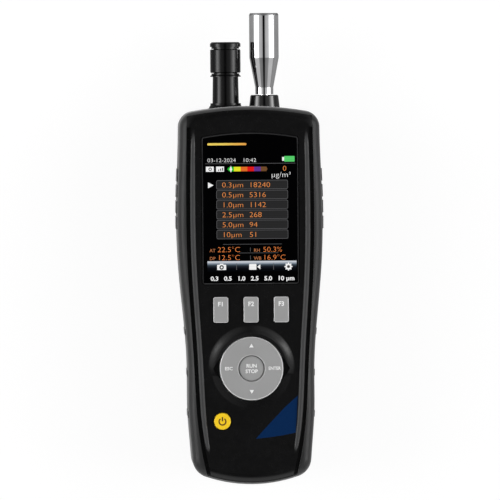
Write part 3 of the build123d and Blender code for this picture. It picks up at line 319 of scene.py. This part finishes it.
def printed(name, colour, roughness=0.5, specular=0.5):
    """Printed ink with slightly uneven cover."""
    n = material_nodes(name)
    cover = n.noise(INK_MM, detail=3.0)
    tone = n.drift(cover, colour, 0.93, 1.04)
    rough = n.vary(cover, roughness - 0.06, roughness + 0.06)
    relief = n.bump(cover, 0.003)
    return n.principled(Base_Color=tone, Roughness=rough, Normal=relief, Specular_IOR_Level=specular)


def amber_print(name, turn_from, turn_to):
    """Print that turns from yellow to orange between two places across the instrument."""
    n = material_nodes(name)
    along = n.remap(n.split(n.coordinates, "X"), 0.0, 1.0, turn_from, turn_to)
    cover = n.noise(INK_MM, detail=3.0)
    tone = n.blend(along, (0.92, 0.68, 0.11), (0.85, 0.36, 0.05))
    return n.principled(Base_Color=tone, Roughness=n.vary(cover, 0.4, 0.5), Normal=n.bump(cover, 0.003))


# edge is a lighter colour painted on the keys' rounded edges as a highlight.
def key_plastic(name, edge, hub_edge=1.0):
    return moulded(
        name, grey(0.34), 0.5, specular=0.3, grain_mm=0.25, mottle=0.03, edge=grey(edge), hub_edge=hub_edge
    )


HOUSING = moulded(
    "housing_black",
    (0.0045, 0.0045, 0.0047),
    0.24,
    specular=0.28,
    grain_mm=0.3,
    grain_depth_mm=0.004,
    front=True,
)
RUBBER = moulded(
    "boot_rubber",
    (0.015, 0.015, 0.0154),
    0.38,
    specular=0.2,
    grain_mm=0.45,
    grain_depth_mm=0.006,
    sheen=0.5,
)
TURNED_BLACK = moulded(
    "turned_black", (0.002, 0.002, 0.0022), 0.2, specular=0.28, grain_mm=0.5, grain_depth_mm=0.004
)
BOSS = moulded("boss_black", (0.003, 0.003, 0.0032), 0.14, specular=0.7, grain_mm=0.5, grain_depth_mm=0.002)
GREY_KEY = key_plastic("key_grey", edge=0.8)
GREY_PAD = key_plastic("pad_grey", edge=0.9, hub_edge=0.15)
YELLOW_KEY = moulded("key_yellow", (1.0, 0.65, 0.012), 0.42, specular=0.4, grain_mm=0.25, mottle=0.03)
COMPONENT = moulded("component_black", grey(0.02), 0.45)
FOAM = moulded("foam_black", grey(0.03), 0.8, grain_mm=0.2, grain_depth_mm=0.03)
NYLON = moulded("nylon_white", (0.75, 0.75, 0.72), 0.5, mottle=0.04)
BOARD = moulded("board_green", (0.02, 0.16, 0.06), 0.3, grain_mm=1.5)
SILICONE = moulded("silicone_clear", (0.62, 0.62, 0.6), 0.35, mottle=0.05)
WRAP = moulded("battery_wrap", (0.02, 0.08, 0.32), 0.25, grain_mm=4.0, grain_depth_mm=0.03)
LAMP = moulded("lamp_lens", (0.8, 0.8, 0.74), 0.15, mottle=0.03)
PROBE_LIP_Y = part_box("isokinetic_probe")[1].y - LIP_LENGTH
STEEL = metal("steel_polished", (0.86, 0.86, 0.87), 0.045, stretch=(1, 0.04, 1), lip_y=PROBE_LIP_Y)
SCREW = metal("screw_plated", (0.42, 0.42, 0.44), 0.3)
BRASS = metal("brass_turned", (0.78, 0.56, 0.26), 0.24)
ANODISED = metal("chamber_anodised", (0.05, 0.05, 0.055), 0.4)
# edge: a painted highlight on the window's bevel
WINDOW = glossy("window_black", (0.0008, 0.0008, 0.001), edge=(0.024, 0.024, 0.025))
LENS = glossy("camera_lens", (0.004, 0.004, 0.006))

SLOT_FINISHES = {
    "black_housing": HOUSING,
    "black_rubber": RUBBER,
    "black_gloss": TURNED_BLACK,
    "screw_steel": SCREW,
    "window_black_glass": WINDOW,
    "foam": FOAM,
    "display_panel": LENS,
    "grey_key": GREY_KEY,
    "yellow_key": YELLOW_KEY,
    "white_nylon": NYLON,
    "circuit_board": BOARD,
    "black_component": COMPONENT,
    "anodised_block": ANODISED,
    "brass_part": BRASS,
    "silicone_tube": SILICONE,
    "polished_steel": STEEL,
    "clear_lens": LENS,
    "lamp_lens": LAMP,
    "battery_wrap": WRAP,
}
NODE_FINISHES = {"inlet_boss": BOSS, "dpad_ring": GREY_PAD, "run_stop_button": GREY_PAD}


def finish_nodes():
    """Give each CAD node its own finish, or its slot's."""
    for part in frame["record"]["subparts"]:
        node, slot = part["node"], part["material_slot"]
        mesh = nodes[node].data
        mesh.materials.clear()
        mesh.materials.append(NODE_FINISHES.get(node, SLOT_FINISHES[slot]))


# ---- Flat artwork: places and heights in millimetres -------------------------------------------------
CAPITAL = 0.729  # height of a capital in the built-in lettering, at size 1


class Art:
    """Flat shapes in one plane, gathered into one piece."""

    def __init__(self, name, material, body, slot, z):
        self.name, self.material, self.body, self.slot_name, self.z = name, material, body, slot, z
        self.vertices, self.faces = [], []

    def add(self, points, faces, layer):
        """Points, and the faces that count them from 0."""
        start, height = len(self.vertices), self.z + layer * LAYER
        self.vertices += [(x * MM, y * MM, height) for x, y in points]
        self.faces += [tuple(start + index for index in face) for face in faces]

    def polygon(self, points, layer=0):
        """Filled polygon, anticlockwise."""
        self.add(points, [range(len(points))], layer)

    def rectangle(self, x0, x1, y0, y1, corner=0.0, layer=0):
        self.polygon(rounded(x0, x1, y0, y1, corner), layer)

    def ring(self, x, y, outer, inner, start_deg=0.0, stop_deg=360.0, steps=40, layer=0):
        """Arc-shaped band."""
        points = []
        for step in range(steps + 1):
            angle = math.radians(start_deg + (stop_deg - start_deg) * step / steps)
            for radius in (outer, inner):
                points.append((x + radius * math.cos(angle), y + radius * math.sin(angle)))
        faces = [(a, a + 2, a + 3, a + 1) for a in range(0, 2 * steps, 2)]
        self.add(points, faces, layer)

    def text(self, words, x, y, height, align="LEFT", weight=0.0, stretch=1.0, layer=0):
        """Line of lettering from the baseline y; weight thickens its strokes and stretch widens it."""
        curve = bpy.data.curves.new("lettering", "FONT")
        curve.body, curve.align_x, curve.offset = words, align, weight
        curve.resolution_u = 3
        temporary = bpy.data.objects.new("lettering", curve)
        bpy.context.scene.collection.objects.link(temporary)
        mesh = bpy.data.meshes.new_from_object(temporary)
        scale = height / CAPITAL
        points = [(x + corner.co.x * scale * stretch, y + corner.co.y * scale) for corner in mesh.vertices]
        self.add(points, [face.vertices for face in mesh.polygons], layer)
        bpy.data.objects.remove(temporary)
        bpy.data.meshes.remove(mesh)
        bpy.data.curves.remove(curve)

    def place(self):
        """Make the piece and let it ride on its body."""
        mesh = bpy.data.meshes.new(self.name)
        mesh.from_pydata(self.vertices, [], self.faces)
        mesh.materials.append(self.material)
        piece = bpy.data.objects.new(self.name, mesh)
        bpy.context.scene.collection.objects.link(piece)
        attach(piece, self.body)


def rounded(x0, x1, y0, y1, corner, steps=4):
    """Corner points of a rectangle, rounded where corner isn't 0."""
    if not corner:
        return [(x0, y0), (x1, y0), (x1, y1), (x0, y1)]
    points = []
    centres = [(x1 - corner, y0 + corner, -90), (x1 - corner, y1 - corner, 0)]
    centres += [(x0 + corner, y1 - corner, 90), (x0 + corner, y0 + corner, 180)]
    for cx, cy, start in centres:
        for step in range(steps + 1):
            angle = math.radians(start + 90 * step / steps)
            points.append((cx + corner * math.cos(angle), cy + corner * math.sin(angle)))
    return points


# ---- Screen picture --------------------------------------------------------------------------------
GLASS_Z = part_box("display_window")[1].z + LAYER
THIN, BOLD = -0.014, 0.03  # stroke weights

STATUS_Y, STATUS_H, DATE_X, TIME_X = 44.2, 2.05, -21.7, -3.8
UNIT_X, UNIT_Y, UNIT_H = 10.6, 36.4, 2.8
POINTER_X, POINTER_Y = (-21.4, -18.6), (31.0, 34.0)
STATUS_BOX_X, STATUS_BOX_W, STATUS_BOX_Y = (-22.4, -17.2), 4.0, (39.4, 42.0)
BATTERY_TIP_X, BATTERY_X, BATTERY_END_X = 16.4, 17.4, 22.7

SCALE_X, SCALE_Y = (-11.6, 8.9), (39.5, 41.8)
SCALE_COLOURS = {
    "scale_green": (0.02, 0.5, 0.03),
    "scale_yellow": (0.8, 0.78, 0.02),
    "scale_orange": (0.75, 0.15, 0.02),
    "scale_red": (0.75, 0.01, 0.01),
    "scale_purple": (0.12, 0.035, 0.28),
    "scale_brown": (0.16, 0.07, 0.025),
}
SCALE_MARK_X, SCALE_MARK_Y = -9.7, 40.6

READINGS = {"0.3": "18240", "0.5": "5316", "1.0": "1142", "2.5": "268", "5.0": "94", "10": "51"}
READING_H, READING_STRETCH = 2.75, 1.16
ROW_TOP, ROW_PITCH, ROW_H, ROW_X = 35.0, 5.06, 4.6, (-17.2, 19.2)
RIM_W, RIM_H = 0.2, 0.22
SIZE_X, COUNT_X, ROW_BASE = -14.4, -0.6, 0.95  # the last is the lettering's height over a row's lower edge
TOTAL_X, TOTAL_Y, TOTAL_H = 17.6, 39.6, 2.7

VALUES = [(-1.55, "AT", "22.5°C", "RH", "50.3%"), (-5.6, "DP", "12.5°C", "WB", "16.9°C")]
VALUE_X, VALUE_LABEL_X, VALUE_LABEL_H, VALUE_LABEL_RISE = (-16.9, 6.2), (-20.9, 1.6), 1.75, 0.05

BAR_X = (-22.0, 23.3)
BAR_EDGES = [-6.1, -6.6, -7.1, -7.6, -8.1, -8.7, -9.4, -10.2, -11.4]
BAR_TONES = [
    (0.58, 0.61, 0.66),
    (0.49, 0.53, 0.58),
    (0.26, 0.3, 0.36),
    (0.094, 0.124, 0.16),
    (0.032, 0.044, 0.056),
    (0.01, 0.0125, 0.019),
    (0.0035, 0.0042, 0.0065),
    (0.0015, 0.002, 0.003),
]
SOFT_KEY_Y = -9.1
CAMERA_ICON_X, VIDEO_ICON_X, GEAR_ICON_X = -14.8, 2.0, 19.2
DISC_ICON_X, DISC_ICON_Y = -20.25, 40.65
CHART_ICON_X, CHART_ICON_Y, CHART_BARS, CHART_STEP = -16.2, 39.8, 3, 0.45

# Thin lines of the screen, with left, right, lower and upper edges, and short dividers.
RULES = [(-22.8, 23.1, 43.35, 43.55), (-14.0, 16.0, 2.35, 2.5), (-6.0, 14.0, -2.1, -1.95)]
SOFT_DIVIDER_X, SOFT_DIVIDER_Y, SOFT_DIVIDER_HALF = (-7.2, 11.6), (-10.6, -7.2), 0.12
VALUE_DIVIDER_X, VALUE_DIVIDER_Y = (-0.2, 0.0), (-0.3, -4.4)


def screen_art(name, colour):
    return Art(name, lit("lit_" + name, colour), "housing", "display_panel", GLASS_Z)


def status_and_icons():
    """Date, time, unit, pointer, two status boxes, battery and the icons of the soft keys."""
    white = screen_art("screen_white", grey(0.9))
    white.text("03-12-2024", DATE_X, STATUS_Y, STATUS_H, weight=THIN, stretch=1.12)
    white.text("10:42", TIME_X, STATUS_Y, STATUS_H, weight=THIN, stretch=1.14)
    white.rectangle(BATTERY_TIP_X, BATTERY_X, STATUS_Y + 0.5, STATUS_Y + 2.4)
    for left in STATUS_BOX_X:
        white.rectangle(left, left + STATUS_BOX_W, *STATUS_BOX_Y)
    diamond(white, SCALE_MARK_X, SCALE_MARK_Y)
    white.text("µg/m³", UNIT_X, UNIT_Y, UNIT_H, weight=THIN, stretch=1.14)
    (back, tip), (low, high) = POINTER_X, POINTER_Y
    white.polygon([(back, low), (tip, (low + high) / 2), (back, high)])
    camera_icon(white, CAMERA_ICON_X, SOFT_KEY_Y)
    video_icon(white, VIDEO_ICON_X, SOFT_KEY_Y)
    gear_icon(white, GEAR_ICON_X, SOFT_KEY_Y)
    white.place()
    marks = screen_art("screen_icon_marks", grey(0.05))
    marks.ring(DISC_ICON_X, DISC_ICON_Y, 0.85, 0.45, steps=16, layer=1)
    for index in range(CHART_BARS):
        x, top = CHART_ICON_X + index, CHART_ICON_Y + 0.7 + index * CHART_STEP
        marks.rectangle(x, x + 0.55, CHART_ICON_Y, top, layer=1)
    marks.ring(CAMERA_ICON_X, SOFT_KEY_Y - 0.15, 1.15, 0.5, steps=20, layer=2)
    marks.ring(GEAR_ICON_X, SOFT_KEY_Y, 0.75, 0.0001, steps=16, layer=2)
    marks.place()
    battery = screen_art("screen_battery", (0.09, 0.6, 0.14))
    battery.rectangle(BATTERY_X, BATTERY_END_X, STATUS_Y, STATUS_Y + 2.9, corner=0.3)
    battery.place()


def diamond(art, x, y):
    art.polygon([(x, y - 1.7), (x + 0.7, y), (x, y + 1.7), (x - 0.7, y)], layer=2)


def camera_icon(art, x, y):
    art.rectangle(x - 2.3, x + 2.3, y - 1.5, y + 1.2, corner=0.3, layer=1)
    art.rectangle(x - 0.9, x + 0.9, y + 1.1, y + 1.7, layer=1)


def video_icon(art, x, y):
    art.rectangle(x - 2.8, x + 0.9, y - 1.5, y + 1.5, corner=0.3, layer=1)
    art.polygon([(x + 1.3, y), (x + 2.9, y - 1.3), (x + 2.9, y + 1.3)], layer=1)


def gear_icon(art, x, y, teeth=8):
    points = []
    for index in range(teeth * 4):
        radius = 2.05 if index % 4 < 2 else 1.55
        angle = 2 * math.pi * (index - 0.5) / (teeth * 4)
        points.append((x + radius * math.cos(angle), y + radius * math.sin(angle)))
    art.polygon(points, layer=1)


def colour_scale():
    """Bar of six colours, pointed at its left end and chamfered at its right end."""
    (x0, x1), (y0, y1) = SCALE_X, SCALE_Y
    step = (x1 - x0) / len(SCALE_COLOURS)
    middle_y = (y0 + y1) / 2
    for index, (name, colour) in enumerate(SCALE_COLOURS.items()):
        art = screen_art(name, colour)
        left, right = x0 + index * step, x0 + (index + 1) * step
        if index == 0:
            tip = left + 1.2
            art.polygon([(left, middle_y), (tip, y0), (right, y0), (right, y1), (tip, y1)])
        elif index == len(SCALE_COLOURS) - 1:
            tip = right - 0.6
            art.polygon([(left, y0), (tip, y0), (right, middle_y), (tip, y1), (left, y1)])
        else:
            art.rectangle(left, right, y0, y1)
        art.place()


def reading_rows():
    """Six rows of counts on rimmed plates, the total, and the four climate values with their labels."""
    plates = screen_art("screen_rows", (0.022, 0.022, 0.0225))
    rims = screen_art("screen_row_rims", (0.11, 0.11, 0.115))
    orange = screen_art("screen_readings", (0.8, 0.27, 0.07))
    style = {"height": READING_H, "weight": THIN, "stretch": READING_STRETCH, "layer": 2}
    left, right = ROW_X
    for index, (size, count) in enumerate(READINGS.items()):
        top = ROW_TOP - index * ROW_PITCH
        bottom = top - ROW_H
        rims.rectangle(left, right, bottom, top, corner=0.8)
        plates.rectangle(left + RIM_W, right - RIM_W, bottom + RIM_H, top - RIM_H, corner=0.65, layer=1)
        orange.text(size + "µm", SIZE_X, bottom + ROW_BASE, **style)
        orange.text(count, COUNT_X, bottom + ROW_BASE, **style)
    orange.text("0", TOTAL_X, TOTAL_Y, TOTAL_H, align="CENTER", weight=-0.012, stretch=1.1)
    values = screen_art("screen_values", (0.85, 0.24, 0.06))
    labels = screen_art("screen_labels", (0.5, 0.18, 0.07))
    for y, *words in VALUES:
        for x, label in zip(VALUE_LABEL_X, words[0::2]):
            labels.text(label, x, y + VALUE_LABEL_RISE, VALUE_LABEL_H)
        for x, value in zip(VALUE_X, words[1::2]):
            values.text(value, x, y, READING_H, weight=-0.017, stretch=1.1)
    for art in (rims, plates, orange, values, labels):
        art.place()


def soft_key_bar():
    """Bar that shades off downward in steps, and the screen's thin lines."""
    for index, tone in enumerate(BAR_TONES):
        art = screen_art(f"screen_bar_{index}", tone)
        art.rectangle(*BAR_X, BAR_EDGES[index + 1], BAR_EDGES[index])
        art.place()
    lines = screen_art("screen_lines", (0.12, 0.12, 0.125))
    for edges in RULES:
        lines.rectangle(*edges)
    for x in SOFT_DIVIDER_X:
        lines.rectangle(x - SOFT_DIVIDER_HALF, x + SOFT_DIVIDER_HALF, *SOFT_DIVIDER_Y, layer=1)
    for y in VALUE_DIVIDER_Y:
        lines.rectangle(*VALUE_DIVIDER_X, y - 1.0, y + 1.0)
    lines.place()


def window_print():
    """Fixed print on the window's margins: a plain amber line and the size range."""
    ink = amber_print("ink_accent", -14.0 * MM, -2.0 * MM)
    line = Art("window_accent", ink, "housing", "window_black_glass", GLASS_Z)
    line.rectangle(-21.6, -1.7, 52.75, 53.9, corner=0.5)
    line.place()
    ink = printed("ink_white", grey(0.93))
    sizes = Art("window_lettering", ink, "housing", "window_black_glass", GLASS_Z)
    words = "0.3   0.5   1.0   2.5   5.0   10 µm"
    sizes.text(words, 0.9, -16.0, 2.2, align="CENTER", weight=0.035, stretch=1.1)
    sizes.place()


# ---- Key legends -----------------------------------------------------------------------------------
FUNCTION_RISE, FUNCTION_H = 1.9, 2.3  # lettering above a function key's middle, and its height
SIDE_H, HUB_LEGEND_H = 1.7, 1.9
SYMBOL_R, SYMBOL_BORE_R, SYMBOL_BAR_HALF = 2.05, 1.4, 0.33
HUB_R = 6.2
SKIRT_W, SKIRT_DROP = 0.12, 1.2 * MM  # narrow skirt around the hub, and how far down it sits
ARROW_HALF, ARROW_H = 1.15, 2.0


def key_art(name, ink, node, slot="grey_key"):
    """Artwork on top of a key, and the middle of the key."""
    low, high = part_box(node)
    middle_x, middle_y = (low.x + high.x) / 2 / MM, (low.y + high.y) / 2 / MM
    return Art(name, ink, node, slot, high.z + LAYER), middle_x, middle_y


def key_legends():
    ink = printed("ink_legend", grey(0.93))
    for number in (1, 2, 3):
        art, x, y = key_art(f"legend_f{number}", ink, f"key_f{number}")
        art.text(f"F{number}", x, y + FUNCTION_RISE, FUNCTION_H, align="CENTER", weight=BOLD)
        art.place()
    art, x, y = key_art("legend_ring", ink, "dpad_ring")
    up, down = y + 10.7, y - 10.9
    art.polygon([(x - ARROW_HALF, up), (x + ARROW_HALF, up), (x, up + ARROW_H)])
    art.polygon([(x - ARROW_HALF, down), (x, down - ARROW_H), (x + ARROW_HALF, down)])
    art.text("ESC", x - 11.6, y - 0.75, SIDE_H, align="CENTER", weight=BOLD, stretch=1.05)
    art.text("ENTER", x + 11.7, y - 0.75, SIDE_H, align="CENTER", weight=BOLD, stretch=0.9)
    art.place()
    art = key_art("legend_hub", ink, "run_stop_button")[0]
    art.text("RUN", x, y + 0.5, HUB_LEGEND_H, align="CENTER", weight=BOLD)
    art.text("STOP", x, y - 2.3, HUB_LEGEND_H, align="CENTER", weight=BOLD)
    art.place()
    skirt = key_art("hub_skirt", GREY_PAD, "run_stop_button")[0]
    skirt.z -= SKIRT_DROP
    skirt.ring(x, y, HUB_R + SKIRT_W, HUB_R - SKIRT_W, steps=64)
    skirt.place()


def power_symbol():
    ink = printed("ink_brown", (0.09, 0.025, 0.003))
    art, x, y = key_art("legend_power", ink, "power_button", "yellow_key")
    art.ring(x, y - 0.1, SYMBOL_R, SYMBOL_BORE_R, start_deg=125, stop_deg=415)
    art.rectangle(x - SYMBOL_BAR_HALF, x + SYMBOL_BAR_HALF, y + 0.1, y + 2.25)
    art.place()


def corner_panel():
    """Plain dark blue field in the lower right corner of the panel, with a bowed lower edge."""
    blue = printed("ink_blue", (0.0005, 0.019, 0.08), roughness=0.35, specular=0.15)
    art = Art("corner_field", blue, "housing", "black_housing", PANEL_Z + LAYER)
    lower_edge = [(1.9, -96.6), (9.0, -95.9), (16.0, -94.9), (22.3, -93.6)]
    right_edge = [(22.9, -84.0), (23.4, -74.8)]
    slanted_edge = [(17.0, -80.5), (9.5, -88.4)]
    art.polygon(lower_edge + right_edge + slanted_edge)
    art.place()


# ---- Studio ----------------------------------------------------------------------------------------
FLOOR_HALF = 1.6
FLOOR_DROP = 0.05 * MM  # keeps the floor clear of the instrument's back
FLOOR_SEEN, FLOOR_IN_METAL = 1.05, 0.21  # its glow to the camera, and in reflections
FLOOR_SHARE = 0.85  # how much of what is seen of it is glow; the rest takes shadows

SKY_GAIN = 7.0
# Degrees from straight up across the instrument (left is negative) and brightness there.
SKY = [
    (-112, 0.2),
    (-99, 0.37),
    (-87, 0.68),
    (-78, 1.0),
    (-72, 7.0),
    (-60, 7.0),
    (-52, 3.8),
    (-45, 2.0),
    (-41, 0.6),
    (-30, 0.5),
    (-17, 0.42),
    (-12, 0.25),
    (-9, 0.0),
    (3, 0.0),
    (7, 0.3),
    (12, 0.46),
    (30, 0.55),
    (38, 0.8),
    (43, 2.0),
    (52, 3.8),
    (60, 7.0),
    (73, 7.0),
    (77, 0.9),
    (87, 0.53),
    (99, 0.3),
    (112, 0.2),
]
END_START, END_STOP = 0.14, 0.27  # where, toward the foot, the bands start and stop fading
HEAD_REACH = 0.55  # how slowly they fade toward the head, beside that
END_SHARE, END_CAP = 0.42, 0.52  # share of the light that is left beyond that, and the most there is
FOOT_GLOW = 1.3  # brightness low down beyond the foot
GLOW_START, GLOW_STOP = 0.6, 0.8  # where, toward the foot, it comes in


def floor():
    """Pale floor that takes the shadow and is clear from below."""
    mesh = bpy.data.meshes.new("floor")
    corners = [(x, y, -FLOOR_DROP) for x, y in rounded(-FLOOR_HALF, FLOOR_HALF, -FLOOR_HALF, FLOOR_HALF, 0)]
    mesh.from_pydata(corners, [], [(0, 1, 2, 3)])
    stage = bpy.data.objects.new("floor", mesh)
    bpy.context.scene.collection.objects.link(stage)
    n = material_nodes("floor_white")
    diffuse = n.add("ShaderNodeBsdfDiffuse")
    n.put(grey(0.92), diffuse.inputs["Color"])
    path = n.add("ShaderNodeLightPath").outputs
    glow = n.add("ShaderNodeEmission")
    n.put(n.remap(path["Is Camera Ray"], FLOOR_IN_METAL, FLOOR_SEEN), glow.inputs["Strength"])
    mirrored = n.maths("MAXIMUM", path["Is Glossy Ray"], path["Is Transmission Ray"])
    seen = n.maths("MAXIMUM", path["Is Camera Ray"], mirrored)
    pale = n.mix(n.maths("MULTIPLY", seen, FLOOR_SHARE), diffuse, glow)
    from_below = n.add("ShaderNodeNewGeometry").outputs["Backfacing"]
    n.show(n.mix(from_below, pale, n.add("ShaderNodeBsdfTransparent")))
    mesh.materials.append(n.owner)


def sky():
    """Soft light in long bands beside the instrument, which fade beyond its ends; white to the camera."""
    world = bpy.data.worlds.new("studio")
    bpy.context.scene.world = world
    n = Nodes(world, "ShaderNodeOutputWorld", "Generated")
    x, y, z = (n.split(n.coordinates, axis) for axis in "XYZ")
    ramp = n.add("ShaderNodeValToRGB")
    n.put(n.remap(n.maths("ARCTAN2", x, z), 0.0, 1.0, -math.pi, math.pi), ramp.inputs["Fac"])
    fill_ramp(ramp.color_ramp.elements)
    footward = n.maths("MULTIPLY", y, -1.0)
    reach = n.maths("MAXIMUM", n.maths("MULTIPLY", y, HEAD_REACH), footward)
    share = n.remap(reach, 1.0, END_SHARE, END_START, END_STOP)
    cap = n.remap(reach, 1.0, END_CAP / SKY_GAIN, END_START, END_STOP)
    bands = n.maths("MINIMUM", n.maths("MULTIPLY", ramp.outputs["Color"], share), cap)
    low_glow = n.remap(footward, 0.0, FOOT_GLOW / SKY_GAIN, GLOW_START, GLOW_STOP)
    light, white = n.add("ShaderNodeBackground"), n.add("ShaderNodeBackground")
    n.put(n.maths("MAXIMUM", bands, low_glow), light.inputs["Color"])
    n.put(SKY_GAIN, light.inputs["Strength"])
    n.put(grey(1), white.inputs["Color"])
    n.show(n.mix(n.add("ShaderNodeLightPath").outputs["Is Camera Ray"], light, white))


def fill_ramp(stops):
    """Set the ramp's first and last stops, which are there already, and add those between."""
    places = [(0.5 + angle / 360, (*grey(level / SKY_GAIN), 1)) for angle, level in SKY]
    for stop, (position, colour) in zip(stops, (places[0], places[-1])):
        stop.position, stop.color = position, colour
    for position, colour in places[1:-1]:
        stops.new(position).color = colour


# ---- Camera ----------------------------------------------------------------------------------------
CAMERA_DISTANCE = 4.0
CAMERA_YAW_DEG = -1.5
CAMERA_PITCH_DEG = -1.2
CAMERA_ROLL_DEG = -0.45
FRAME_WIDTH = 254.2 * MM  # what the picture spans at the aim
AIM = Vector((-0.3 * MM, -0.55 * MM, 55.0 * MM))


def camera():
    """Long lens straight over the front, slightly from the left and slightly turned."""
    data = bpy.data.cameras.new("camera")
    data.sensor_width = 36.0
    data.lens = data.sensor_width * CAMERA_DISTANCE / FRAME_WIDTH
    data.clip_end = 20.0
    seen_from = bpy.data.objects.new("camera", data)
    bpy.context.scene.collection.objects.link(seen_from)
    yaw = Matrix.Rotation(math.radians(CAMERA_YAW_DEG), 4, "Y")
    pitch = Matrix.Rotation(math.radians(CAMERA_PITCH_DEG), 4, "X")
    roll = Matrix.Rotation(math.radians(CAMERA_ROLL_DEG), 4, "Z")
    back_off = Matrix.Translation((0, 0, CAMERA_DISTANCE))
    seen_from.matrix_world = Matrix.Translation(AIM) @ yaw @ pitch @ roll @ back_off
    bpy.context.scene.camera = seen_from


finish_nodes()
status_and_icons()
colour_scale()
reading_rows()
soft_key_bar()
window_print()
key_legends()
power_symbol()
corner_panel()
floor()
sky()
camera()
bpy.context.scene.view_settings.view_transform = "Standard"
